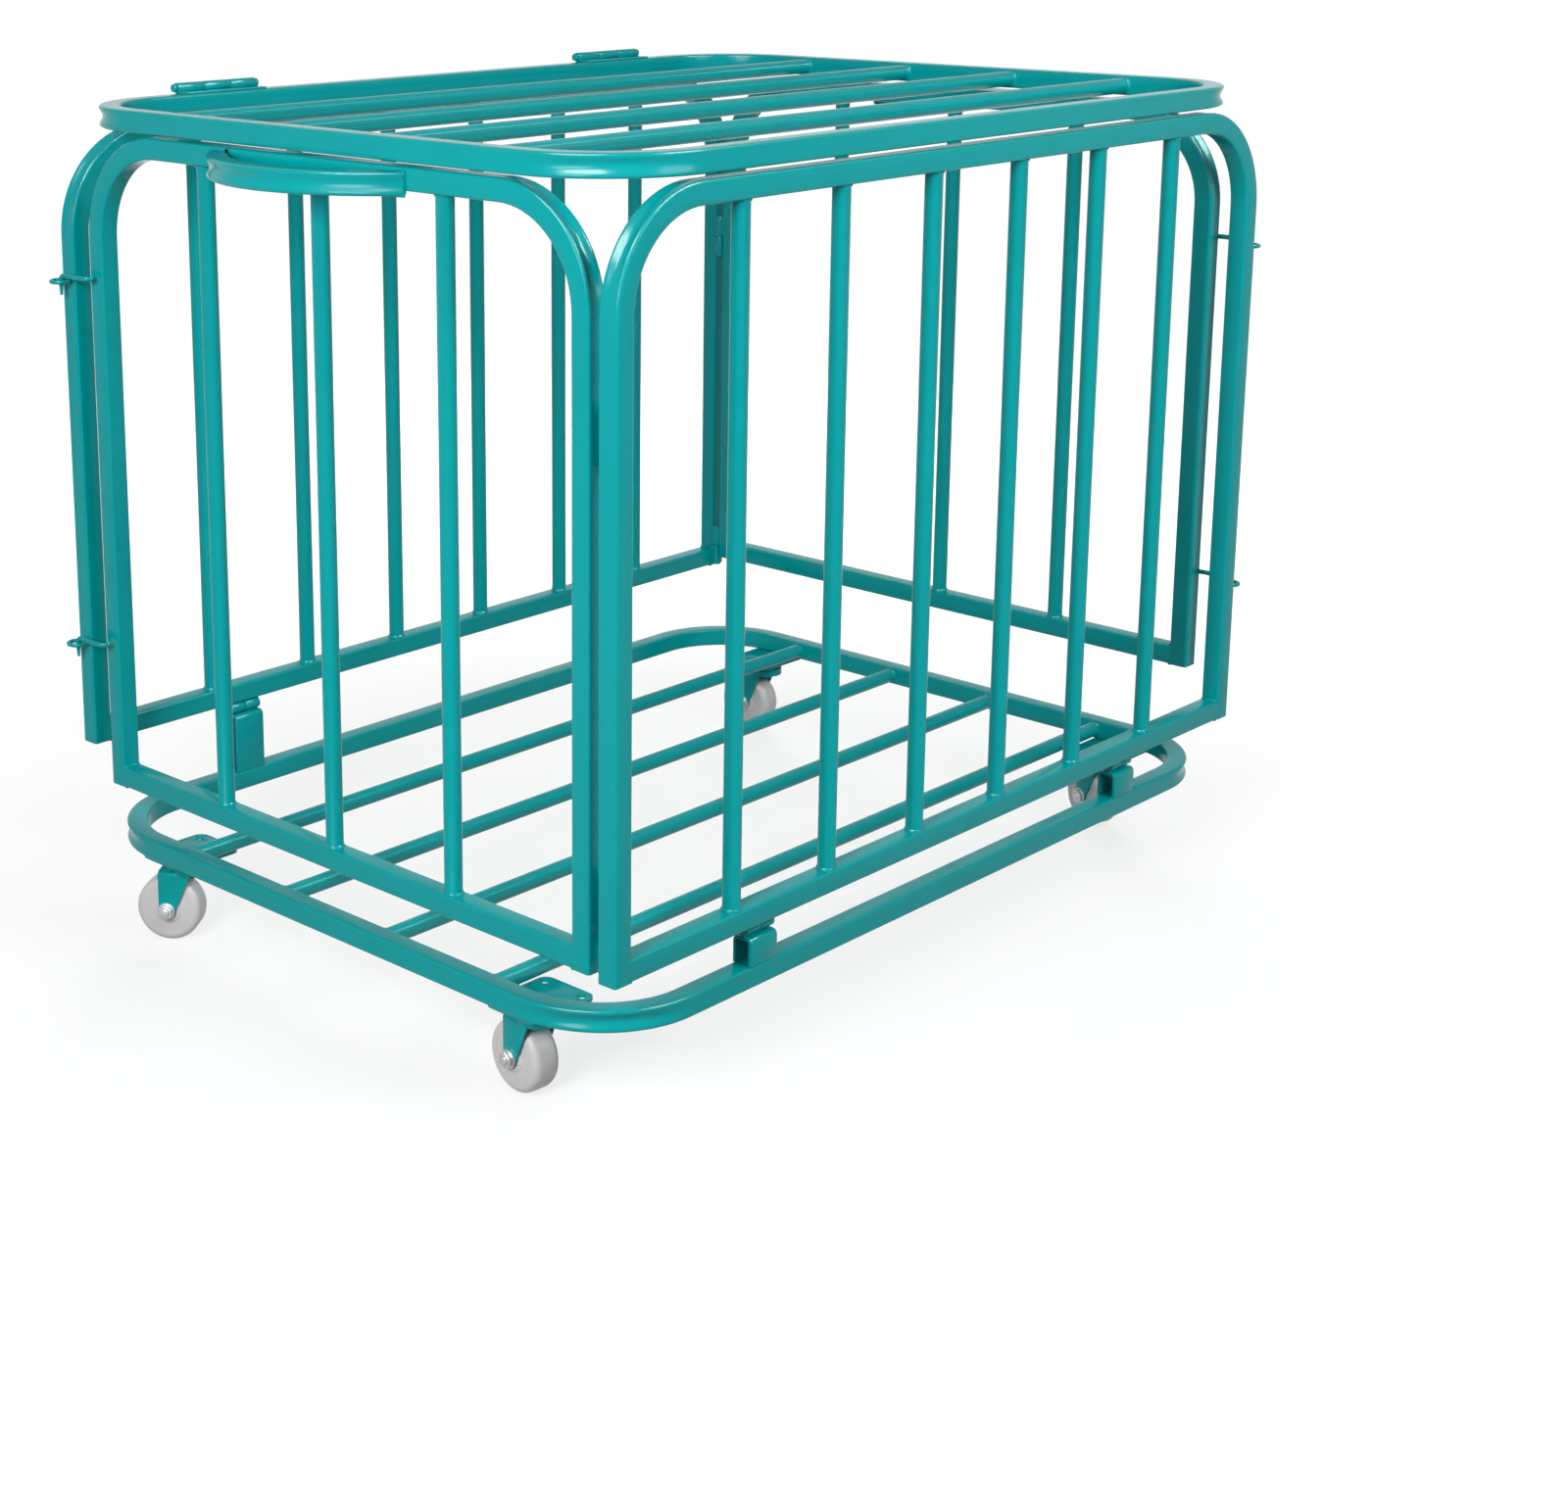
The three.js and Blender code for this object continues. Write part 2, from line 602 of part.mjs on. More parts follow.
function rearPanel() {
  const height = CAGE_TOP - REAR_BOTTOM;
  const hinges = [-1, 1].flatMap((along) => {
    const knuckles = hingeKnuckles(false).map(solidOf);
    return [rearLeaf(), ...knuckles].map((solid) => {
      const geometry = geometryOf(solid);
      const y = LID_AXIS_Y - CAGE_WIDTH / 2 + TUBE / 2;
      geometry.translate(along * LID_HINGE_OFFSET, y, LID_AXIS_Z - REAR_BOTTOM);
      return solidOf(geometry.rotateZ(Math.PI));
    });
  });
  const frame = join([longPanelSolid(REAR_BOTTOM), ...hinges]);
  const group = new THREE.Group();
  group.add(piece('rear_panel_frame', geometryOf(frame), TEAL_PAINT));
  group.add(...panelBars('rear_panel', SIDE_BARS, SIDE_BAR_PITCH, height));
  group.position.set(0, CAGE_WIDTH / 2 - TUBE / 2, REAR_BOTTOM);
  group.rotation.z = Math.PI;
  return group;
}

// A bow of tube whose two ends lie on the plane x = 0, bulging toward -X.
function pushHandle() {
  const outer = (HANDLE_CHORD * HANDLE_CHORD / 4 + HANDLE_SAG * HANDLE_SAG) / (2 * HANDLE_SAG);
  const radius = outer - TUBE / 2;
  const centre = outer - HANDLE_SAG;
  const sweep = Math.acos(centre / outer);
  const extra = TUBE / outer;
  const path = new THREE.Path();
  path.absarc(centre, 0, radius, Math.PI - sweep - extra, Math.PI + sweep + extra);
  const bow = sweptTube(path, false, TUBE, TUBE_CORNER, 0);
  const trim = block([-WELD_GAP, -HANDLE_CHORD, -TUBE], [HANDLE_CHORD, HANDLE_CHORD, TUBE]);
  return geometryOf(bow.subtract(solidOf(trim)));
}

// A hook in its own frame: the pivot runs along X through the origin, the panel's face is at x = 0.
function hook() {
  const run = HOOK_PIVOT_INSET + END_LATCH_GAP + EYE_FROM_EDGE;
  const path = new THREE.CurvePath();
  const corners = [
    new THREE.Vector3(TUBE_WALL + HOOK_ROD, 0, 0),
    new THREE.Vector3(-HOOK_STANDOFF, 0, 0),
    new THREE.Vector3(-HOOK_STANDOFF, run, 0),
    new THREE.Vector3(-HOOK_STANDOFF, run, -HOOK_TIP),
  ];
  let from = corners[0];
  for (let i = 1; i < corners.length - 1; i++) {
    const back = corners[i - 1].clone().sub(corners[i]).setLength(HOOK_BEND).add(corners[i]);
    const on = corners[i + 1].clone().sub(corners[i]).setLength(HOOK_BEND).add(corners[i]);
    path.add(new THREE.LineCurve3(from, back));
    path.add(new THREE.QuadraticBezierCurve3(back, corners[i], on));
    from = on;
  }
  path.add(new THREE.LineCurve3(from, corners[corners.length - 1]));
  const section = new THREE.Shape();
  section.absarc(0, 0, HOOK_ROD / 2, 0, Math.PI * 2);
  const settings = { steps: ROD_STEPS, curveSegments: WIRE_SIDES / 2, extrudePath: path };
  return new THREE.ExtrudeGeometry(section, settings);
}

// An end panel in its own frame: outer face on x = 0, middle of its width on y = 0, feet on zero.
// Its hinge is on the -Y edge and its hooks are by the +Y edge.
function endPanel(name, bottom) {
  const height = CAGE_TOP - bottom;
  const upright = geometryOf(panelFrame(END_WIDTH, height)).rotateX(Math.PI / 2).rotateZ(Math.PI / 2);
  const axisY = -END_WIDTH / 2 - END_HINGE_GAP / 2;
  const hinges = boredHalves(bottom).map((half) => {
    return solidOf(geometryOf(half).translate(END_AXIS_DEPTH, axisY, 0));
  });
  let frame = join([solidOf(upright.translate(TUBE / 2, 0, 0)), ...hinges]);
  const pivotY = END_WIDTH / 2 - HOOK_PIVOT_INSET;
  const holeLength = TUBE + CUT_OVERRUN;
  HOOK_HEIGHTS.forEach((level) => {
    const hole = rod(HOOK_ROD + 2 * HOOK_HOLE_CLEARANCE, holeLength, ROD_SIDES).rotateZ(Math.PI / 2);
    hole.translate(0, pivotY, level - bottom);
    frame = frame.subtract(solidOf(hole));
  });
  const group = new THREE.Group();
  group.add(piece(`${name}_end_frame`, geometryOf(frame), TEAL_PAINT));
  panelBars(`${name}_end`, END_BARS, END_BAR_PITCH, height).forEach((bar) => {
    bar.position.set(TUBE / 2, bar.position.x, bar.position.z);
    group.add(bar);
  });
  const handle = piece(`${name}_push_handle`, pushHandle(), TEAL_PAINT);
  handle.position.set(0, HANDLE_SHIFT, height - HANDLE_BELOW_TOP - TUBE / 2);
  group.add(handle);
  ['lower', 'upper'].forEach((level, index) => {
    const mesh = piece(`${name}_${level}_hook`, hook(), TEAL_PAINT);
    mesh.position.set(0, pivotY, HOOK_HEIGHTS[index] - bottom);
    group.add(mesh);
  });
  const inner = CAGE_WIDTH / 2 - TUBE;
  group.position.set(END_INSET - CAGE_LENGTH / 2, END_HINGE_GAP + END_WIDTH / 2 - inner, bottom);
  const holder = new THREE.Group();
  holder.add(group);
  return holder;
}

// The far end is the near end turned half round, and its feet are higher.
function farEndPanel() {
  const panel = endPanel('far', FAR_END_BOTTOM);
  panel.rotation.z = Math.PI;
  return panel;
}

// Lid: ring with its half of both hinges, bars, and the two hinge pins.
function lid() {
  const group = new THREE.Group();
  const ring = sweptTube(ringPath(LID_LENGTH, LID_WIDTH, LID_BEND), true);
  const middle = LID_BOTTOM + TUBE / 2;
  const halves = [-1, 1].flatMap((along) => [...lidLeaf(), ...hingeKnuckles(true)].map((geometry) => {
    return solidOf(geometry.translate(along * LID_HINGE_OFFSET, LID_AXIS_Y, LID_AXIS_Z - middle));
  }));
  const frame = piece('lid_frame', geometryOf(join([ring, ...halves])), TEAL_PAINT);
  frame.position.z = middle;
  group.add(frame);
  group.add(...lengthwiseBars('lid_bar', LID_LENGTH, LID_BARS, LID_BAR_PITCH, middle));
  return group;
}

function lidPin(name, along) {
  const shankLength = LID_HINGE_LENGTH + 2 * WELD_GAP;
  const shank = rod(LID_PIN_DIAMETER, shankLength + 2 * WELD_SINK, ROD_SIDES).rotateZ(Math.PI / 2);
  const heads = [-1, 1].map((side) => {
    const head = rod(LID_PIN_HEAD, LID_PIN_HEAD_LENGTH, BARREL_SIDES).rotateZ(Math.PI / 2);
    return head.translate(side * (shankLength + LID_PIN_HEAD_LENGTH) / 2, 0, 0);
  });
  const mesh = piece(name, geometryOf(join([shank, ...heads].map(solidOf))), TEAL_PAINT);
  mesh.position.set(along * LID_HINGE_OFFSET, LID_AXIS_Y, LID_AXIS_Z);
  return mesh;
}

// The fixed part of a caster: plate, upper race, kingpin and its head, hung from z = 0.
function casterPlate() {
  const shape = new THREE.Shape();
  const x = PLATE_LENGTH / 2;
  const y = PLATE_WIDTH / 2;
  shape.moveTo(x, -y + PLATE_ROUND);
  shape.absarc(x - PLATE_ROUND, y - PLATE_ROUND, PLATE_ROUND, 0, Math.PI / 2);
  shape.absarc(-x + PLATE_ROUND, y - PLATE_ROUND, PLATE_ROUND, Math.PI / 2, Math.PI);
  shape.absarc(-x + PLATE_ROUND, -y + PLATE_ROUND, PLATE_ROUND, Math.PI, Math.PI * 3 / 2);
  shape.absarc(x - PLATE_ROUND, -y + PLATE_ROUND, PLATE_ROUND, -Math.PI / 2, 0);
  [-1, 1].forEach((alongX) => [-1, 1].forEach((alongY) => {
    const holeX = alongX * (x - PLATE_HOLE_INSET_X);
    const holeY = alongY * (y - PLATE_HOLE_INSET_Y);
    const hole = new THREE.Path();
    hole.absarc(holeX, holeY, PLATE_HOLE / 2, 0, -Math.PI, true);
    hole.absarc(holeX, holeY, PLATE_HOLE / 2, -Math.PI, -2 * Math.PI, true);
    shape.holes.push(hole);
  }));
  const settings = { depth: PLATE_THICKNESS, bevelEnabled: false, curveSegments: CORNER_ARC_STEPS };
  const plate = new THREE.ExtrudeGeometry(shape, settings).translate(0, 0, -PLATE_THICKNESS);
  const raceBottom = -PLATE_THICKNESS - RACE_HEIGHT;
  const crownBottom = raceBottom - RACE_PLAY - RACE_HEIGHT - FORK_SHEET;
  const headTop = crownBottom - RACE_PLAY;
  const headBottom = headTop - KINGPIN_HEAD_HEIGHT;
  const profile = [
    [0, -PLATE_THICKNESS / 2],
    [RACE_DIAMETER / 2, -PLATE_THICKNESS / 2],
    [RACE_DIAMETER / 2, raceBottom + KINGPIN_CHAMFER],
    [RACE_DIAMETER / 2 - KINGPIN_CHAMFER, raceBottom],
    [KINGPIN_DIAMETER / 2, raceBottom],
    [KINGPIN_DIAMETER / 2, headTop],
    [KINGPIN_HEAD / 2, headTop],
    [KINGPIN_HEAD / 2, headBottom + KINGPIN_CHAMFER],
    [KINGPIN_HEAD / 2 - KINGPIN_CHAMFER, headBottom],
    [0, headBottom],
  ];
  return geometryOf(solidOf(plate).add(turned(profile, RING_SIDES)));
}

// A solid of revolution about Z from radius and height pairs, listed from the top down.
function turned(profile, sides) {
  const points = profile.map(([radius, height]) => new THREE.Vector2(radius, height)).reverse();
  const geometry = new THREE.LatheGeometry(points, sides);
  geometry.deleteAttribute('normal');
  geometry.deleteAttribute('uv');
  return solidOf(dropFlat(mergeVertices(geometry)).rotateX(Math.PI / 2));
}

// Leaves out the triangles that shrink to a line where a profile meets its axis.
function dropFlat(geometry) {
  const index = geometry.index.array;
  const kept = [];
  for (let i = 0; i < index.length; i += 3) {
    const [a, b, c] = [index[i], index[i + 1], index[i + 2]];
    if (a !== b && b !== c && c !== a) {
      kept.push(a, b, c);
    }
  }
  geometry.setIndex(kept);
  return geometry;
}

// The side view of a fork leg, from its wide root at the crown to its round foot at the axle.
function legOutline(axleHeight) {
  const front = CASTER_TRAIL + FORK_LEG_FOOT;
  const rear = front - FORK_LEG_TOP;
  const shape = new THREE.Shape();
  shape.moveTo(front, FORK_CROWN);
  shape.lineTo(rear, FORK_CROWN);
  shape.absarc(CASTER_TRAIL, axleHeight, FORK_LEG_FOOT, FORK_REAR_ANGLE, Math.PI * 2);
  shape.closePath();
  return shape;
}

// The swivelling fork: a folded sheet with tapered legs, its crown on z = 0 and its axis on the origin.
function fork() {
  const axleHeight = WHEEL_DIAMETER / 2;
  const halfWidth = HUB_LENGTH / 2 + HUB_PLAY + FORK_SHEET;
  const fold = (inset) => {
    const half = halfWidth - inset;
    const round = FORK_ROUND - inset;
    const top = FORK_CROWN - inset;
    const shape = new THREE.Shape();
    shape.moveTo(half, -CUT_OVERRUN);
    shape.lineTo(half, top - round);
    shape.absarc(half - round, top - round, round, 0, Math.PI / 2);
    shape.absarc(round - half, top - round, round, Math.PI / 2, Math.PI);
    shape.lineTo(-half, -CUT_OVERRUN);
    shape.closePath();
    const settings = { depth: 2 * PLATE_LENGTH, bevelEnabled: false, curveSegments: CORNER_ARC_STEPS };
    const geometry = new THREE.ExtrudeGeometry(shape, settings).translate(0, 0, -PLATE_LENGTH);
    return solidOf(geometry.rotateX(Math.PI / 2).rotateZ(Math.PI / 2));
  };
  const side = new THREE.ExtrudeGeometry(legOutline(axleHeight), {
    depth: 2 * halfWidth + 2 * CUT_OVERRUN, bevelEnabled: false, curveSegments: BEND_STEPS,
  });
  side.translate(0, 0, -halfWidth - CUT_OVERRUN).rotateX(Math.PI / 2);
  const folded = fold(0).subtract(fold(FORK_SHEET)).intersect(solidOf(side));
  const disc = turned([
    [0, FORK_CROWN + RACE_HEIGHT],
    [RACE_DIAMETER / 2 - RACE_HEIGHT / 2, FORK_CROWN + RACE_HEIGHT],
    [RACE_DIAMETER / 2, FORK_CROWN + RACE_HEIGHT / 2],
    [RACE_DIAMETER / 2, FORK_CROWN - FORK_SHEET],
    [0, FORK_CROWN - FORK_SHEET],
  ], RING_SIDES);
  const kingpinBore = rod(KINGPIN_DIAMETER + 2 * AXLE_CLEARANCE, CASTER_HEIGHT, RING_SIDES);
  kingpinBore.rotateX(Math.PI / 2).translate(0, 0, FORK_CROWN);
  const axleBore = rod(AXLE_DIAMETER + 2 * AXLE_CLEARANCE, 2 * PLATE_WIDTH, BAR_SIDES);
  axleBore.translate(CASTER_TRAIL, 0, axleHeight);
  return geometryOf(folded.add(disc).subtract(solidOf(kingpinBore)).subtract(solidOf(axleBore)));
}

// The wheel: a plain disc with broad round shoulders and a hub that stands proud.
function wheel() {
  const radius = WHEEL_DIAMETER / 2;
  const half = WHEEL_WIDTH / 2;
  const bore = AXLE_DIAMETER / 2 + AXLE_CLEARANCE;
  const slant = WHEEL_SHOULDER * Math.SQRT1_2;
  const side = (sign) => [
    [bore, sign * HUB_LENGTH / 2],
    [HUB_DIAMETER / 2, sign * HUB_LENGTH / 2],
    [HUB_DIAMETER / 2, sign * half],
    [radius - WHEEL_SHOULDER, sign * half],
    [radius - WHEEL_SHOULDER + slant, sign * (half - WHEEL_SHOULDER + slant)],
    [radius, sign * (half - WHEEL_SHOULDER)],
  ];
  const profile = [...side(-1), ...side(1).reverse()];
  const points = [...profile, profile[0]].map(([r, z]) => new THREE.Vector2(r, z));
  return new THREE.LatheGeometry(points, WHEEL_SIDES);
}

// The axle bolt with its hexagon head and its nut, along Y.
function axleBolt() {
  const gripHalf = HUB_LENGTH / 2 + HUB_PLAY + FORK_SHEET + WELD_GAP;
  const hexRadius = HEX_WIDTH / Math.sqrt(3);
  const hexes = [-1, 1].map((side) => {
    const hex = new THREE.CylinderGeometry(hexRadius, hexRadius, HEX_HEIGHT, HEX_SIDES);
    return solidOf(hex.translate(0, side * (gripHalf + HEX_HEIGHT / 2), 0));
  });
  const shankLength = 2 * gripHalf + HEX_HEIGHT + AXLE_END;
  const shank = rod(AXLE_DIAMETER, shankLength, BAR_SIDES).translate(0, (HEX_HEIGHT + AXLE_END) / 2, 0);
  return geometryOf(join([solidOf(shank), ...hexes]));
}

function caster(corner, alongX, alongY) {
  const group = new THREE.Group();
  group.position.set(alongX * CASTER_X, alongY * CASTER_Y, 0);
  const plate = piece(`caster_plate_${corner}`, casterPlate(), TEAL_PAINT);
  plate.position.z = CASTER_HEIGHT - WELD_GAP;
  const swivel = new THREE.Group();
  swivel.rotation.z = THREE.MathUtils.degToRad(SWIVEL_TURNS[corner]);
  const bolt = piece(`caster_axle_${corner}`, axleBolt(), ZINC);
  const roller = piece(`caster_wheel_${corner}`, wheel(), NYLON);
  [bolt, roller].forEach((mesh) => mesh.position.set(CASTER_TRAIL, 0, WHEEL_DIAMETER / 2));
  swivel.add(piece(`caster_fork_${corner}`, fork(), TEAL_PAINT), bolt, roller);
  group.add(plate, swivel);
  return group;
}

const cart = new THREE.Group();
cart.add(baseRing());
const floorMiddle = CASTER_HEIGHT + TUBE / 2;
cart.add(...lengthwiseBars('floor_bar', BASE_LENGTH, FLOOR_BARS, FLOOR_BAR_PITCH, floorMiddle));
cart.add(...baseBrackets());
cart.add(frontPanel(), rearPanel());
cart.add(endPanel('near', FRONT_BOTTOM), farEndPanel());
cart.add(lid());
cart.add(lidPin('lid_hinge_pin_near', -1), lidPin('lid_hinge_pin_far', 1));
[['near', -1], ['far', 1]].forEach(([end, alongX]) => {
  [['front', -1], ['rear', 1]].forEach(([rail, alongY]) => {
    cart.add(caster(`${rail}_${end}`, alongX, alongY));
  });
});
cart.position.y = -REAR_OVERHANG / 2;
cart.updateMatrixWorld(true);

export default cart;
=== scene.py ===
import math

import bmesh
import bpy
from mathutils import Matrix, Vector


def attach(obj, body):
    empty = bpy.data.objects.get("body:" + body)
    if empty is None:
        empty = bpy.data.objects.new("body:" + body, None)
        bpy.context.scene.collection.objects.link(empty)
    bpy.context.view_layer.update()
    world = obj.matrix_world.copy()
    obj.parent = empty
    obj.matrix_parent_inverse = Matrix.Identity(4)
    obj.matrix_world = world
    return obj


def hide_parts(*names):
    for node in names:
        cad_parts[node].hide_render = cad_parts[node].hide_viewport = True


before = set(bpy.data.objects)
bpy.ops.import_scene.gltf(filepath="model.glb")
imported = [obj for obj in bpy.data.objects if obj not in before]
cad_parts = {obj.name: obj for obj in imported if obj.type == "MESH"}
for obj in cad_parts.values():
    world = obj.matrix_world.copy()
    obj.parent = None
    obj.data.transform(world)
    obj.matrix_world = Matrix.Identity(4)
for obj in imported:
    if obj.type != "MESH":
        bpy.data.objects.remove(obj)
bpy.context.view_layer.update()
bpy.ops.object.select_all(action="DESELECT")
print("frame loaded:", len(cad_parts), "nodes")

hair = 0.00001    # a coordinate this close to a face counts as on it, in metres
slack = 0.0001    # the same where bent or turned points meet
halfTurn = math.pi
quarterTurn = math.pi / 2


def linearColour(hexCode):
    channels = [int(hexCode[i:i + 2], 16) / 255 for i in (0, 2, 4)]
    linear = [c / 12.92 if c <= 0.04045 else ((c + 0.055) / 1.055) ** 2.4 for c in channels]
    return (*linear, 1.0)


def addNode(tree, kind, settings=None, **sockets):
    node = tree.nodes.new(kind)
    for name, value in (settings or {}).items():
        setattr(node, name, value)
    for name, value in sockets.items():
        socket = node.inputs[name.replace("_", " ")]
        if isinstance(value, bpy.types.NodeSocket):
            tree.links.new(value, socket)
        else:
            socket.default_value = value
    return node


def newMaterial(name):
    material = bpy.data.materials.new(name)
    material.use_nodes = True
    tree = material.node_tree
    tree.nodes.clear()
    output = tree.nodes.new("ShaderNodeOutputMaterial")
    place = tree.nodes.new("ShaderNodeTexCoord").outputs["Object"]
    return material, tree, output, place


def addNoise(tree, place, width, detail):
    noise = addNode(tree, "ShaderNodeTexNoise", Vector=place, Scale=1 / width, Detail=detail)
    return noise.outputs["Fac"]


def addTint(tree, factor, finish):
    # wanders from the finish's colour to its shade; for colours the mix has sockets 6, 7 and 2
    tint = addNode(tree, "ShaderNodeMix", {"data_type": "RGBA"}, Factor=factor)
    tint.inputs[6].default_value = linearColour(finish["colour"])
    tint.inputs[7].default_value = linearColour(finish["shade"])
    return tint.outputs[2]


def addGloss(tree, factor, finish):
    gloss = addNode(tree, "ShaderNodeMapRange", Value=factor,
                    To_Min=finish["roughness"][0], To_Max=finish["roughness"][1])
    return gloss.outputs["Result"]


# Gloss polyester powder coat on steel: one even colour, a faint orange peel a few millimetres wide
# and slightly duller patches, so highlights along the tubes waver a little.
powderCoat = {"colour": "00989B", "shade": "009093", "roughness": (0.16, 0.22), "index": 1.21,
              "peelWidth": 0.0035, "peelDepth": 0.000008, "patchWidth": 0.06}


def makePowderCoat():
    material, tree, output, place = newMaterial("powderCoatTeal")
    patches = addNoise(tree, place, powderCoat["patchWidth"], 3.0)
    peel = addNoise(tree, place, powderCoat["peelWidth"], 1.0)
    bump = addNode(tree, "ShaderNodeBump", Height=peel, Strength=1.0,
                   Distance=powderCoat["peelDepth"])
    shader = addNode(tree, "ShaderNodeBsdfPrincipled",
                     Base_Color=addTint(tree, patches, powderCoat),
                     Roughness=addGloss(tree, patches, powderCoat),
                     Normal=bump.outputs["Normal"], IOR=powderCoat["index"])
    tree.links.new(shader.outputs["BSDF"], output.inputs["Surface"])
    return material


# Bright zinc plate on a steel bolt: a cool grey metal with a fine cloudy grain.
zincPlate = {"colour": "A8AAAB", "roughness": (0.34, 0.50), "grainWidth": 0.0012}


def makeZincPlate():
    material, tree, output, place = newMaterial("zincPlatedSteel")
    grain = addNoise(tree, place, zincPlate["grainWidth"], 4.0)
    shader = addNode(tree, "ShaderNodeBsdfPrincipled", Base_Color=linearColour(zincPlate["colour"]),
                     Metallic=1.0, Roughness=addGloss(tree, grain, zincPlate))
    tree.links.new(shader.outputs["BSDF"], output.inputs["Surface"])
    return material


# Moulded natural nylon: off-white, satin, faintly mottled where the melt flowed.
mouldedNylon = {"colour": "CCC9CA", "shade": "BFBCBE", "roughness": 0.42, "index": 1.53,
                "flowWidth": 0.014, "grainWidth": 0.0009, "grainDepth": 0.00002}


def makeNylon():
    material, tree, output, place = newMaterial("mouldedNylon")
    flow = addNoise(tree, place, mouldedNylon["flowWidth"], 3.0)
    grain = addNoise(tree, place, mouldedNylon["grainWidth"], 2.0)
    bump = addNode(tree, "ShaderNodeBump", Height=grain, Strength=1.0,
                   Distance=mouldedNylon["grainDepth"])
    shader = addNode(tree, "ShaderNodeBsdfPrincipled", Base_Color=addTint(tree, flow, mouldedNylon),
                     Roughness=mouldedNylon["roughness"], Normal=bump.outputs["Normal"],
                     IOR=mouldedNylon["index"])
    tree.links.new(shader.outputs["BSDF"], output.inputs["Surface"])
    return material


teal = makePowderCoat()
zinc = makeZincPlate()
nylon = makeNylon()
print("materials made")


def editMode():
    bpy.ops.object.mode_set(mode="EDIT")


def objectMode():
    bpy.ops.object.mode_set(mode="OBJECT")


def pick(kind, test):
    # selects verts, edges or faces whose middle passes the test
    bpy.ops.mesh.select_mode(type={"verts": "VERT", "edges": "EDGE", "faces": "FACE"}[kind])
    bpy.ops.mesh.select_all(action="DESELECT")
    mesh = bmesh.from_edit_mesh(bpy.context.object.data)
    for item in getattr(mesh, kind):
        if kind == "verts":
            chosen = test(item.co)
        elif kind == "edges":
            chosen = all(test(vert.co) for vert in item.verts)
        else:
            chosen = test(item.calc_center_median())
        if chosen:
            item.select_set(True)
    mesh.select_flush_mode()
    bmesh.update_edit_mesh(bpy.context.object.data)


def pickAll():
    bpy.ops.mesh.select_all(action="SELECT")


def extrude(x, y, z):
    bpy.ops.mesh.extrude_region_move(TRANSFORM_OT_translate={"value": (x, y, z)})


def applyModifier(kind, **settings):
    bpy.ops.object.modifier_add(type=kind)
    modifier = bpy.context.object.modifiers[-1]
    for name, value in settings.items():
        setattr(modifier, name, value)
    bpy.ops.object.modifier_apply(modifier=modifier.name)


def mendNormals():
    editMode()
    pickAll()
    bpy.ops.mesh.remove_doubles(threshold=hair)
    bpy.ops.mesh.normals_make_consistent(inside=False)
    objectMode()


def settle():
    # takes the active object's place, turn and size into its mesh
    bpy.ops.object.transform_apply(location=True, rotation=True, scale=True)


def cutWith(piece, tool, operation="DIFFERENCE"):
    # carves a piece with a second mesh, which is then gone
    bpy.ops.object.select_all(action="DESELECT")
    piece.select_set(True)
    bpy.context.view_layer.objects.active = piece
    applyModifier("BOOLEAN", operation=operation, object=tool, solver="EXACT")
    bpy.data.objects.remove(tool)


def roundEdges(width, segments=2, angle=40):
    applyModifier("BEVEL", width=width, segments=segments, limit_method="ANGLE",
                  angle_limit=math.radians(angle), use_clamp_overlap=True)


def joinAll(objects):
    bpy.ops.object.select_all(action="DESELECT")
    for item in objects:
        item.select_set(True)
    bpy.context.view_layer.objects.active = objects[0]
    bpy.ops.object.join()
    return bpy.context.object


templates = []
shadeAngle = 38    # sharper edges than this stay crisp, in degrees


def template(name):
    # the active object becomes a model that pieces are copied from
    model = bpy.context.object
    model.name = name
    bpy.ops.object.select_all(action="DESELECT")
    model.select_set(True)
    settle()
    bpy.ops.object.shade_smooth_by_angle(angle=math.radians(shadeAngle))
    templates.append(model)
    model.select_set(False)
    return model


def placePiece(model, name, body, material, place=(0, 0, 0), turn=0.0, replaced=(), pose=None):
    copy = model.copy()
    copy.data = model.data.copy()
    copy.name = copy.data.name = name
    bpy.context.scene.collection.objects.link(copy)
    matrix = pose or Matrix.Translation(place) @ Matrix.Rotation(turn, 4, "Z")
    copy.data.transform(matrix)
    copy.data.materials.clear()
    copy.data.materials.append(material)
    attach(copy, body)
    if replaced:
        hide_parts(*replaced)
    return copy


def cylinder(radius, depth, sides=32, place=(0, 0, 0), axis="Z"):
    turns = {"X": (0, quarterTurn, 0), "Y": (quarterTurn, 0, 0), "Z": (0, 0, 0)}
    bpy.ops.mesh.primitive_cylinder_add(vertices=sides, radius=radius, depth=depth, location=place,
                                        rotation=turns[axis])
    return bpy.context.object


# Square tube, bent on a press so that its outer wall dishes in. All lengths are in metres.
tube = {"side": 0.020, "wall": 0.0015, "corner": 0.0026, "cornerSegments": 4, "bendSteps": 18,
        "dishCuts": 7, "dishDepth": 0.0032, "dishFlank": 1.3, "dishReach": 1.15,
        "outerBand": 0.0045, "stationWidth": 0.002}


def startSection(x, y):
    # a rounded square outline across X and Z, its outer side split so that it can dish
    bpy.ops.mesh.primitive_plane_add(size=tube["side"], location=(x, y, 0),
                                     rotation=(quarterTurn, 0, 0))
    settle()
    editMode()
    pickAll()
    bpy.ops.mesh.bevel(offset=tube["corner"], segments=tube["cornerSegments"], affect="VERTICES")
    outer = x + tube["side"] / 2 - hair
    pick("edges", lambda co: co.x > outer)
    bpy.ops.mesh.subdivide(number_cuts=tube["dishCuts"])
    pickAll()
    bpy.ops.mesh.delete(type="ONLY_FACE")
    pickAll()


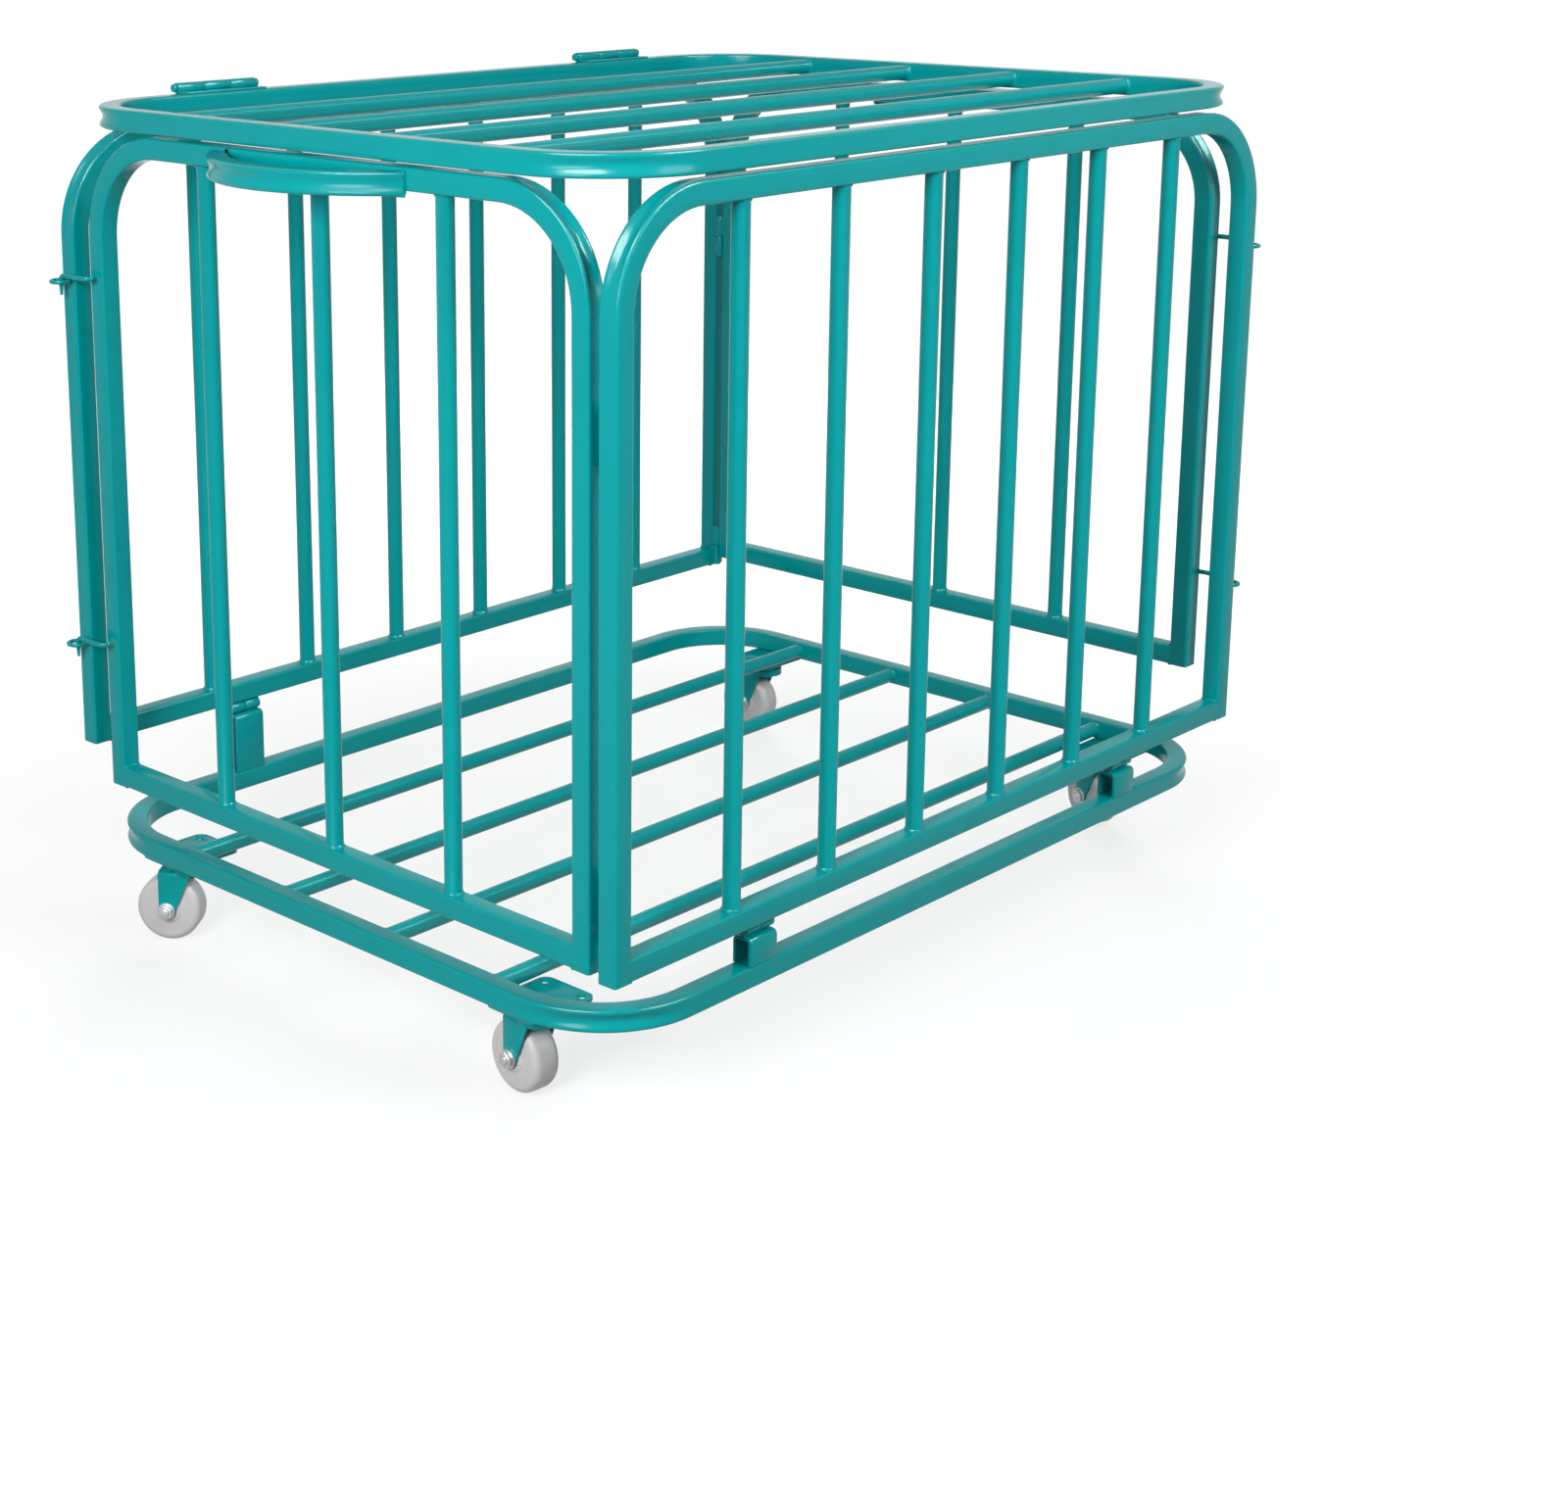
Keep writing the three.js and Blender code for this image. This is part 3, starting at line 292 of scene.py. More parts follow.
def dishRows(deepest):
    # the rows of the outer wall: how far each lies from the middle line, and how deep it dishes
    half = tube["side"] / 2 - tube["corner"]
    rows = []
    for row in range(1, (tube["dishCuts"] + 1) // 2 + 1):
        across = half * (1 - 2 * row / (tube["dishCuts"] + 1))
        rows.append((across, deepest * math.cos(quarterTurn * across / half) ** tube["dishFlank"]))
    return rows


def dishBend(centreX, centreY, bend):
    # pulls the outer wall of a bend toward its centre, deepest halfway round and along the middle
    for across, depth in dishRows(tube["dishDepth"]):
        for station in range(1, tube["bendSteps"] // 2 + 1):
            angle = quarterTurn * station / tube["bendSteps"]
            reach = min(1.0, math.sin(2 * angle) * tube["dishReach"])

            def onRow(co):
                dx, dy = co.x - centreX, co.y - centreY
                if min(dx, dy) < slack or abs(abs(co.z) - across) > 2 * slack:
                    return False
                here = math.atan2(dy, dx)
                nearest = min(abs(here - angle), abs(here - (quarterTurn - angle)))
                outside = math.hypot(dx, dy) > bend - tube["outerBand"]
                return outside and nearest < tube["stationWidth"]

            pick("verts", onRow)
            shrink = 1 - depth * reach / bend
            bpy.ops.transform.resize(value=(shrink, shrink, 1),
                                     center_override=(centreX, centreY, 0))


def bentQuarter(halfWidth, height, bend):
    # from the foot at y = 0 up one side, round the bend and in to x = 0
    startSection(halfWidth - tube["side"] / 2, 0)
    extrude(0, height - bend, 0)
    bpy.ops.mesh.spin(steps=tube["bendSteps"], angle=-quarterTurn, axis=(0, 0, 1),
                      center=(halfWidth - bend, height - bend, 0))
    extrude(-(halfWidth - bend), 0, 0)
    pickAll()
    bpy.ops.mesh.remove_doubles(threshold=hair)
    bpy.ops.mesh.normals_make_consistent(inside=False)
    dishBend(halfWidth - bend, height - bend, bend)
    objectMode()


def bentRing(name, length, width, bend):
    bentQuarter(length / 2, width / 2, bend)
    applyModifier("MIRROR", use_axis=(True, True, False), merge_threshold=slack)
    mendNormals()
    return template(name)


def bentHoop(name, width, height, bend):
    # a hoop on two open feet, hollow, stood up in XZ
    bentQuarter(width / 2, height, bend)
    applyModifier("MIRROR", use_axis=(True, False, False), merge_threshold=slack)
    mendNormals()
    applyModifier("SOLIDIFY", thickness=tube["wall"], offset=-1)
    bpy.context.object.rotation_euler = (quarterTurn, 0, 0)
    return template(name)


def straightRail(name, length):
    # along X, both ends closed just inside the posts
    startSection(0, -length / 2)
    extrude(0, length, 0)
    for end in (-1, 1):
        pick("edges", lambda co: co.y * end > length / 2 - slack)
        bpy.ops.mesh.edge_face_add()
    pickAll()
    bpy.ops.mesh.normals_make_consistent(inside=False)
    objectMode()
    bpy.context.object.rotation_euler = (0, 0, quarterTurn)
    return template(name)


# Round bars, each end flared by the weld bead that ties it to its rail.
bar = {"radius": 0.008, "sides": 32, "roughness": 0.0002,
       "bead": ((0.0006, 0.0005), (0.0008, 0.0005), (0.0009, 0.0002))}


def roundBar(name, length):
    # along Z about the origin, made as one half and mirrored
    height = length / 2 - sum(step for step, _ in bar["bead"])
    cylinder(bar["radius"], height, bar["sides"], (0, 0, height / 2))
    settle()
    editMode()
    pick("faces", lambda co: co.z < hair)
    bpy.ops.mesh.delete(type="FACE")
    radius = bar["radius"]
    pick("faces", lambda co: co.z > height - hair)
    for step, flare in bar["bead"]:
        extrude(0, 0, step)
        bpy.ops.transform.resize(value=((radius + flare) / radius, (radius + flare) / radius, 1))
        radius += flare
    pick("verts", lambda co: height + 2 * slack < co.z < length / 2 - 2 * slack)
    bpy.ops.transform.vertex_random(offset=bar["roughness"], seed=3)
    objectMode()
    applyModifier("MIRROR", use_axis=(False, False, True), merge_threshold=hair)
    mendNormals()
    return template(name)


weld = {"radius": 0.0022, "reach": 0.0185, "roughness": 0.00035, "sides": 12, "ripple": 0.003,
        "dome": ((0.7, 0.72), (0.3, 0.4)), "sink": 0.0003}


def weldBead(name, length, seed, radius=weld["radius"]):
    # a fillet of weld metal along X, domed at both ends and a little uneven
    cylinder(radius, length - 2 * radius, weld["sides"], axis="X")
    settle()
    editMode()
    for end in (-1, 1):
        pick("faces", lambda co: co.x * end > length / 2 - radius - hair)
        for out, shrink in weld["dome"]:
            extrude(end * radius * out, 0, 0)
            bpy.ops.transform.resize(value=(1, shrink, shrink))
    pick("edges", lambda co: abs(co.x) < length / 2 - radius + slack)
    bpy.ops.mesh.subdivide(number_cuts=max(1, int(length / weld["ripple"])))
    pickAll()
    bpy.ops.transform.vertex_random(offset=weld["roughness"], seed=seed)
    objectMode()
    return template(name)


cartShift = -0.003   # the hinges stand proud at the back, so the cage sits forward of the middle
base = {"length": 0.959, "width": 0.712, "bend": 0.104, "middle": 0.100, "barPitch": 0.1384}

ringModel = bentRing("baseRingModel", base["length"], base["width"], base["bend"])
placePiece(ringModel, "baseRingTube", "base", teal, (0, cartShift, base["middle"]),
           replaced=["base_ring"])
barModel = roundBar("floorBarModel", base["length"] - 2 * tube["side"])
lay = Matrix.Rotation(quarterTurn, 4, "Y")
for index in range(4):
    at = Matrix.Translation((0, cartShift + (index - 1.5) * base["barPitch"], base["middle"]))
    placePiece(barModel, f"floorBar{index + 1}", "base", teal, pose=at @ lay,
               replaced=[f"floor_bar_{index + 1}"])
print("base made")


# Four cage panels: each a hoop on two feet, a bottom rail and upright bars.
cage = {"bend": 0.100, "top": 0.788, "railReach": 0.0023}
longBars = [-0.320, -0.192, -0.064, 0.064, 0.192, 0.320]
endBars = [-0.155, 0, 0.155]
panels = {
    "front": {"node": "front_panel", "body": "base", "width": 0.948, "foot": 0.148,
              "place": (0, -0.353), "turn": 0, "bars": longBars},
    "rear": {"node": "rear_panel", "body": "base", "width": 0.948, "foot": 0.184,
             "place": (0, 0.347), "turn": halfTurn, "bars": longBars},
    "near": {"node": "near_end", "body": "near_end", "width": 0.648, "foot": 0.148,
             "place": (-0.459, -0.005), "turn": quarterTurn, "bars": endBars},
    "far": {"node": "far_end", "body": "far_end", "width": 0.648, "foot": 0.198,
            "place": (0.459, -0.001), "turn": -quarterTurn, "bars": endBars},
}
cornerBead = weldBead("cornerBeadModel", weld["reach"], 5)

# a small vent hole over one end of each handle, in the outer face of the end panel's top rail
ventHole = {"radius": 0.003, "depth": 0.006, "sides": 20,
            "places": {"near": (-0.469, 0.107, 0.7835), "far": (0.469, -0.113, 0.7835)}}


def drillHole(piece, place):
    drill = cylinder(ventHole["radius"], ventHole["depth"], ventHole["sides"], place, "X")
    cutWith(piece, drill)
    piece.select_set(False)


def makePanel(key, panel):
    node, body = panel["node"], panel["body"]
    height = cage["top"] - panel["foot"]
    place = (*panel["place"], panel["foot"])
    hoop = bentHoop(f"{key}HoopModel", panel["width"], height, cage["bend"])
    hoopPiece = placePiece(hoop, f"{key}Hoop", body, teal, place, panel["turn"], [f"{node}_frame"])
    if key in ventHole["places"]:
        drillHole(hoopPiece, ventHole["places"][key])
    inside = panel["width"] - 2 * tube["side"]
    rail = straightRail(f"{key}RailModel", inside + 2 * cage["railReach"])
    side = Matrix.Translation(place) @ Matrix.Rotation(panel["turn"], 4, "Z")
    placePiece(rail, f"{key}BottomRail", body, teal,
               pose=side @ Matrix.Translation((0, 0, tube["side"] / 2)))
    upright = roundBar(f"{key}BarModel", height - 2 * tube["side"])
    for index, x in enumerate(panel["bars"]):
        placePiece(upright, f"{key}Bar{index + 1}", body, teal,
                   pose=side @ Matrix.Translation((x, 0, height / 2)),
                   replaced=[f"{node}_bar_{index + 1}"])
    across = Matrix.Rotation(quarterTurn, 4, "Z")
    beadX = panel["width"] / 2 - tube["side"] - weld["sink"]
    for end, word in ((-1, "Left"), (1, "Right")):
        for level, z in (("Lower", weld["sink"]), ("Upper", tube["side"] - weld["sink"])):
            at = side @ Matrix.Translation((end * beadX, 0, z)) @ across
            placePiece(cornerBead, f"{key}Weld{level}{word}", body, teal, pose=at)


for key, panel in panels.items():
    makePanel(key, panel)
print("panels made")


# Push handles: a bow of the same tube on each end panel.
handle = {"outerRadius": 0.1644, "sag": 0.060, "middle": 0.774, "steps": 44, "overrun": 0.12,
          "dishDepth": 0.0024, "weldSpan": (0.1085, 0.127), "weldRadius": 0.0014,
          "sideBeadOut": 0.0006, "endBeadOut": 0.0004, "endBeadIn": 0.0009,
          "places": {"near": (-0.469, 0.003, 0), "far": (0.469, -0.009, halfTurn)}}


def makeHandle():
    # bulges toward -X from the plane x = 0
    outer = handle["outerRadius"]
    centreX = outer - handle["sag"]
    sweep = math.acos(centreX / outer) + handle["overrun"]
    startSection(outer - tube["side"] / 2, 0)
    bpy.ops.mesh.spin(steps=handle["steps"], angle=-2 * sweep, axis=(0, 0, 1), center=(0, 0, 0))
    pickAll()
    bpy.ops.mesh.remove_doubles(threshold=hair)
    bpy.ops.mesh.normals_make_consistent(inside=False)
    for across, depth in dishRows(handle["dishDepth"]):
        shrink = 1 - depth / outer
        pick("verts", lambda co: abs(abs(co.z) - across) < 2 * slack
             and math.hypot(co.x, co.y) > outer - tube["outerBand"])
        bpy.ops.transform.resize(value=(shrink, shrink, 1), center_override=(0, 0, 0))
    objectMode()
    bow = bpy.context.object
    bow.rotation_euler = (0, 0, halfTurn - sweep)
    bow.location = (centreX, 0, 0)
    settle()
    editMode()
    pickAll()
    bpy.ops.mesh.bisect(plane_co=(0, 0, 0), plane_no=(1, 0, 0), clear_outer=True, use_fill=True)
    objectMode()
    return template("handleModel")


handleModel = makeHandle()
inner, outer = handle["weldSpan"]
handleBead = weldBead("handleBeadModel", outer - inner, 8, handle["weldRadius"])
handleEndBead = weldBead("handleEndBeadModel", weld["reach"], 3, handle["weldRadius"])
standing = Matrix.Rotation(quarterTurn, 4, "Y")
across = Matrix.Rotation(quarterTurn, 4, "Z")
for end, (x, y, turn) in handle["places"].items():
    placePiece(handleModel, f"{end}PushHandle", f"{end}_end", teal, (x, y, handle["middle"]), turn,
               [f"{end}_push_handle"])
    pose = Matrix.Translation((x, y, handle["middle"])) @ Matrix.Rotation(turn, 4, "Z")
    for side, word in ((-1, "Left"), (1, "Right")):
        at = Matrix.Translation((-handle["endBeadOut"], side * (outer - handle["endBeadIn"]), 0))
        placePiece(handleEndBead, f"{end}HandleWeld{word}", f"{end}_end", teal,
                   pose=pose @ at @ standing)
        for level, z in (("Lower", -1), ("Upper", 1)):
            at = Matrix.Translation((-handle["sideBeadOut"], side * (inner + outer) / 2,
                                     z * (tube["side"] / 2 - weld["sink"])))
            placePiece(handleBead, f"{end}HandleWeld{level}{word}", f"{end}_end", teal,
                       pose=pose @ at @ across)
print("handles made")


lid = {"length": 0.952, "width": 0.716, "bend": 0.105, "middle": 0.802, "barPitch": 0.1392}
ringModel = bentRing("lidRingModel", lid["length"], lid["width"], lid["bend"])
placePiece(ringModel, "lidRingTube", "lid", teal, (0, cartShift, lid["middle"]),
           replaced=["lid_frame"])
barModel = roundBar("lidBarModel", lid["length"] - 2 * tube["side"])
for index in range(4):
    at = Matrix.Translation((0, cartShift + (index - 1.5) * lid["barPitch"], lid["middle"]))
    placePiece(barModel, f"lidBar{index + 1}", "lid", teal, pose=at @ lay,
               replaced=[f"lid_bar_{index + 1}"])
print("lid made")


# Butt hinges between the rear panel and the lid.
buttHinge = {"places": {"near": -0.282, "far": 0.282}, "axisY": 0.358, "axisZ": 0.817,
             "length": 0.098, "play": 0.0005,
             "knuckle": 0.005, "bore": 0.0028, "boreDepth": 0.004, "knuckleEdge": 0.0004,
             "leaf": 0.002, "leafEdge": 0.0006, "rearDrop": 0.047, "lidReach": 0.021,
             "lidFrom": 0.0035, "tabTop": 0.003, "tongue": 0.006, "tabEdge": 0.0004,
             "pin": 0.0025, "pinOver": 0.002, "head": 0.004, "headLength": 0.003, "headGap": 0.0006,
             "pinEdge": 0.0007}


def plate(low, high, rounding, segments=2):
    # a sheet-metal plate between two corners with softened edges
    middle = [(a + b) / 2 for a, b in zip(low, high)]
    bpy.ops.mesh.primitive_cube_add(size=1, location=middle)
    bpy.context.object.scale = [b - a for a, b in zip(low, high)]
    settle()
    roundEdges(rounding, segments)
    return bpy.context.object


def knuckles(xs, length):
    made = []
    for x in xs:
        ring = cylinder(buttHinge["knuckle"], length, 32, (x, 0, 0), "X")
        settle()
        editMode()
        for end in (-1, 1):
            pick("faces", lambda co: (co.x - x) * end > length / 2 - hair)
            bpy.ops.mesh.inset(thickness=buttHinge["knuckle"] - buttHinge["bore"])
            extrude(-end * buttHinge["boreDepth"], 0, 0)
        objectMode()
        roundEdges(buttHinge["knuckleEdge"], 2, 60)
        made.append(ring)
    return made


def makeButtHinge():
    pitch, play = buttHinge["length"] / 3, buttHinge["play"]
    half = buttHinge["length"] / 2 - play
    thick, low = buttHinge["leaf"], -buttHinge["knuckle"]
    leafEdge, tabEdge = buttHinge["leafEdge"], buttHinge["tabEdge"]
    rearLeaf = plate((-half, -thick / 2, -buttHinge["rearDrop"]),
                     (half, thick / 2, low - thick), leafEdge)
    tabs = [plate((x - pitch / 2 + play, -thick / 2, low - 2 * thick),
                  (x + pitch / 2 - play, thick / 2, -buttHinge["tabTop"]), tabEdge)
            for x in (-pitch, pitch)]
    joinAll([rearLeaf, *tabs, *knuckles((-pitch, pitch), pitch - play)])
    rear = template("rearLeafModel")
    lidLeaf = plate((-half, -buttHinge["lidReach"], low),
                    (half, -buttHinge["lidFrom"], low + thick), leafEdge)
    tongue = plate((-pitch / 2 + play, -buttHinge["tongue"], low),
                   (pitch / 2 - play, 0, low + thick), tabEdge)
    joinAll([lidLeaf, tongue, *knuckles((0,), pitch - play)])
    top = template("lidLeafModel")
    shank = cylinder(buttHinge["pin"], buttHinge["length"] + buttHinge["pinOver"], 24, axis="X")
    headX = (buttHinge["length"] + buttHinge["headGap"] + buttHinge["headLength"]) / 2
    heads = [cylinder(buttHinge["head"], buttHinge["headLength"], 24, (side * headX, 0, 0), "X")
             for side in (-1, 1)]
    joinAll([shank, *heads])
    settle()
    roundEdges(buttHinge["pinEdge"], 3)
    return rear, top, template("hingePinModel")


rearLeafModel, lidLeafModel, hingePinModel = makeButtHinge()
for end, x in buttHinge["places"].items():
    place = (x, buttHinge["axisY"], buttHinge["axisZ"])
    placePiece(rearLeafModel, f"{end}HingeRearLeaf", "base", teal, place)
    placePiece(lidLeafModel, f"{end}HingeLidLeaf", "lid", teal, place)
    placePiece(hingePinModel, f"{end}HingePin", "base", teal, place,
               replaced=[f"lid_hinge_pin_{end}"])
print("lid hinges made")


# Weld-on pin hinges of the end panels.
pinHinge = {"radius": 0.005, "length": 0.024, "edge": 0.0008, "rise": 0.0005,
            "web": 0.006, "gap": 0.007, "webSink": 0.0005,
            "pin": 0.0025, "pinLength": 0.008, "pinEdge": 0.0003, "heights": (0.211, 0.594),
            "places": {"near": (-0.454, -0.336, 0), "far": (0.454, 0.330, halfTurn)}}


def hingeBarrel(name, low, webSide):
    # a turned barrel with a soft shoulder, and the web it is welded by
    length, edge, halfWeb = pinHinge["length"], pinHinge["edge"], pinHinge["web"] / 2
    barrel = cylinder(pinHinge["radius"], length, 32, (0, 0, low + length / 2))
    settle()
    roundEdges(edge, 3)
    reach = pinHinge["gap"] + pinHinge["webSink"]
    web = plate((-halfWeb, min(0, webSide * reach), low + edge),
                (halfWeb, max(0, webSide * reach), low + length - edge), edge)
    joinAll([barrel, web])
    return template(name)


lowerBarrel = hingeBarrel("lowerBarrelModel", -pinHinge["length"], -1)
upperBarrel = hingeBarrel("upperBarrelModel", pinHinge["rise"], 1)
cylinder(pinHinge["pin"], pinHinge["pinLength"], 20)
roundEdges(pinHinge["pinEdge"])
pinModel = template("endPinModel")
for end, (x, y, turn) in pinHinge["places"].items():
    for level, z in zip(("Lower", "Upper"), pinHinge["heights"]):
        placePiece(lowerBarrel, f"{end}{level}HingeFixedHalf", "base", teal, (x, y, z), turn)
        placePiece(upperBarrel, f"{end}{level}HingeSwingingHalf", f"{end}_end", teal,
                   (x, y, z), turn)
        placePiece(pinModel, f"{end}{level}HingePin", "base", zinc, (x, y, z), turn)
print("end hinges made")


# Rod hooks on the end panels, and the ring eyes they drop into.
hookRod = {"radius": 0.0025, "sides": 16, "bend": 0.006, "bendSteps": 8, "inside": 0.0065,
           "standOff": 0.015, "run": 0.0405, "tip": 0.019,
           "pointFrom": 0.6, "point": ((0.35, 0.87), (0.2, 0.62)),
           "levels": {"lower": 0.295, "upper": 0.652},
           "places": {"near": (-0.469, 0.304, 0), "far": (0.469, -0.310, halfTurn)}}
ringEye = {"radius": 0.0085, "rod": 0.002, "steps": 40, "rodSteps": 14,
           "stem": 0.0022, "stemLength": 0.0028, "stemMiddle": 0.0091,
           "x": 0.484, "along": 0.042, "below": 0.006}


def makeHook():
    # in through the panel's face at x = 0, out to the stand-off, along +Y and down
    radius, bend, inside = hookRod["radius"], hookRod["bend"], hookRod["inside"]
    standOff, run = hookRod["standOff"], hookRod["run"]
    bpy.ops.mesh.primitive_circle_add(vertices=hookRod["sides"], radius=radius,
                                      location=(inside, 0, 0), rotation=(0, quarterTurn, 0))
    settle()
    editMode()
    pickAll()
    extrude(-(inside + standOff - bend), 0, 0)
    bpy.ops.mesh.spin(steps=hookRod["bendSteps"], angle=quarterTurn, axis=(0, 0, 1),
                      center=(-(standOff - bend), bend, 0))
    extrude(0, run - 2 * bend, 0)
    bpy.ops.mesh.spin(steps=hookRod["bendSteps"], angle=quarterTurn, axis=(1, 0, 0),
                      center=(-standOff, run - bend, -bend))
    extrude(0, 0, -(hookRod["tip"] - bend - radius * hookRod["pointFrom"]))
    for drop, shrink in hookRod["point"]:
        extrude(0, 0, -radius * drop)
        bpy.ops.transform.resize(value=(shrink, shrink, 1))
    bpy.ops.mesh.edge_face_add()
    pick("edges", lambda co: co.x > inside - hair)
    bpy.ops.mesh.edge_face_add()
    objectMode()
    mendNormals()
    return template("hookModel")


def makeEye():
    bpy.ops.mesh.primitive_torus_add(major_radius=ringEye["radius"], minor_radius=ringEye["rod"],
                                     major_segments=ringEye["steps"],
                                     minor_segments=ringEye["rodSteps"])
    ring = bpy.context.object
    stem = cylinder(ringEye["stem"], ringEye["stemLength"], 16, (ringEye["stemMiddle"], 0, 0), "X")
    joinAll([ring, stem])
    return template("ringEyeModel")


hookModel = makeHook()
eyeModel = makeEye()
for end, (x, y, turn) in hookRod["places"].items():
    outward = -1 if x < 0 else 1
    for level, z in hookRod["levels"].items():
        placePiece(hookModel, f"{end}{level.title()}Hook", f"{end}_{level}_hook_body", teal,
                   (x, y, z), turn, [f"{end}_{level}_hook"])
        eyePlace = (outward * ringEye["x"], y - outward * ringEye["along"], z - ringEye["below"])
        placePiece(eyeModel, f"{end}{level.title()}Eye", "base", teal, eyePlace, turn)
print("hooks made")


# Folded brackets that carry the long panels on barrels.
bracket = {"length": 0.035, "width": 0.020, "sheet": 0.003, "fold": 0.005, "foldSteps": 5,
           "edge": 0.0005, "barrel": 0.006, "barrelLength": 0.018, "barrelEdge": 0.0006,
           "axisRise": 0.0063, "play": 0.0005, "x": 0.283, "footHeight": 0.110,
           "halfWeb": 0.0025, "webEdge": 0.0004, "webInset": 0.001, "panelWeb": (0.002, 0.0068),
           "rails": {"front": (-0.349, 0.0254, 0), "rear": (0.343, 0.0614, halfTurn)}}


def bracketBarrel(middle, height):
    barrel = cylinder(bracket["barrel"], bracket["barrelLength"], 32, (middle, 0, height), "X")
    settle()
    roundEdges(bracket["barrelEdge"], 2)
    return barrel


def makeBracket(name, height):
    halfLength, halfWidth = bracket["length"] / 2, bracket["width"] / 2
    bpy.ops.mesh.primitive_plane_add(size=1, location=(0, 0, height))
    bpy.context.object.scale = (bracket["length"], bracket["width"], 1)
    settle()
    editMode()
    for side in (-1, 1):
        pick("edges", lambda co: co.y * side > halfWidth - hair and co.z > height - hair)
        extrude(0, 0, -height)
    for side in (-1, 1):
        pick("edges", lambda co: co.y * side > halfWidth - hair and co.z > height - hair)
        bpy.ops.mesh.bevel(offset=bracket["fold"], segments=bracket["foldSteps"])
    pickAll()
    bpy.ops.mesh.normals_make_consistent(inside=False)
    objectMode()
    applyModifier("SOLIDIFY", thickness=bracket["sheet"], offset=-1, use_even_offset=True)
    roundEdges(bracket["edge"], 2, 60)
    sheet = bpy.context.object
    axis, inset = height + bracket["axisRise"], bracket["webInset"]
    barrel = bracketBarrel(-halfLength + bracket["barrelLength"] / 2, axis)
    web = plate((-halfLength + inset, -bracket["halfWeb"], height - inset),
                (0, bracket["halfWeb"], axis), bracket["webEdge"])
    joinAll([sheet, barrel, web])
    return template(name)


def makePanelBarrel():
    length, play = bracket["barrelLength"], bracket["play"]
    low, high = bracket["panelWeb"]
    start = length + play - bracket["length"] / 2
    barrel = bracketBarrel(start + length / 2, 0)
    web = plate((start + play, -bracket["halfWeb"], low),
                (start + length - play, bracket["halfWeb"], high), bracket["webEdge"])
    joinAll([barrel, web])
    return template("panelBarrelModel")


panelBarrelModel = makePanelBarrel()
for rail, (y, height, turn) in bracket["rails"].items():
    model = makeBracket(f"{rail}BracketModel", height)
    for end, along in (("near", -1), ("far", 1)):
        x = along * bracket["x"]
        placePiece(model, f"{rail}Bracket{end.title()}", "base", teal,
                   (x, y, bracket["footHeight"]), turn, [f"{rail}_bracket_{end}"])
        axis = bracket["footHeight"] + height + bracket["axisRise"]
        placePiece(panelBarrelModel, f"{rail}PanelBarrel{end.title()}", "base", teal,
                   (x, y, axis), turn)
print("brackets made")


# Casters: top plate, fork, wheel and axle bolt.
caster = {"x": 0.438, "y": 0.240, "trail": 0.021, "height": 0.090,
          "turns": {"front_near": 84, "front_far": 68, "rear_near": 124, "rear_far": 96}}
topPlate = {"length": 0.076, "width": 0.062, "thickness": 0.003, "round": 0.010, "roundSteps": 8,
            "edge": 0.0005, "gap": 0.0001,
            "hole": 0.004, "holeInset": (0.010, 0.009), "drill": 0.02,
            "race": 0.020, "raceHeight": 0.0065, "raceSink": 0.001, "raceEdge": 0.0015}
kingpin = {"radius": 0.005, "length": 0.024, "middle": 0.0755,
           "head": 0.008, "headHeight": 0.005, "headMiddle": 0.0679, "headEdge": 0.001}
forkSheet = {"thickness": 0.0025, "fold": 0.005, "foldSteps": 6, "edge": 0.0005, "blank": 0.09,
             "halfWidth": 0.018, "crownTop": 0.0733, "front": 0.029, "rear": -0.009,
             "foot": 0.008, "footSteps": 9, "lean": 18, "over": 0.01, "spread": 0.05,
             "raceTop": 0.0798, "raceEdge": 0.003}
roller = {"radius": 0.0325, "halfWidth": 0.014, "shoulder": 0.007, "shoulderSteps": 8,
          "hub": 0.012, "hubHalf": 0.015, "lip": 0.001, "bore": 0.0044, "boreDepth": 0.004,
          "edge": 0.0006}
axleBolt = {"hex": 0.0075, "hexHeight": 0.0044, "hexEdge": 0.0007, "washer": 0.0085,
            "washerHeight": 0.001, "washerEdge": 0.0003, "shank": 0.004, "shankEdge": 0.0007,
            "grip": 0.018, "end": 0.002, "headInset": 0.001}


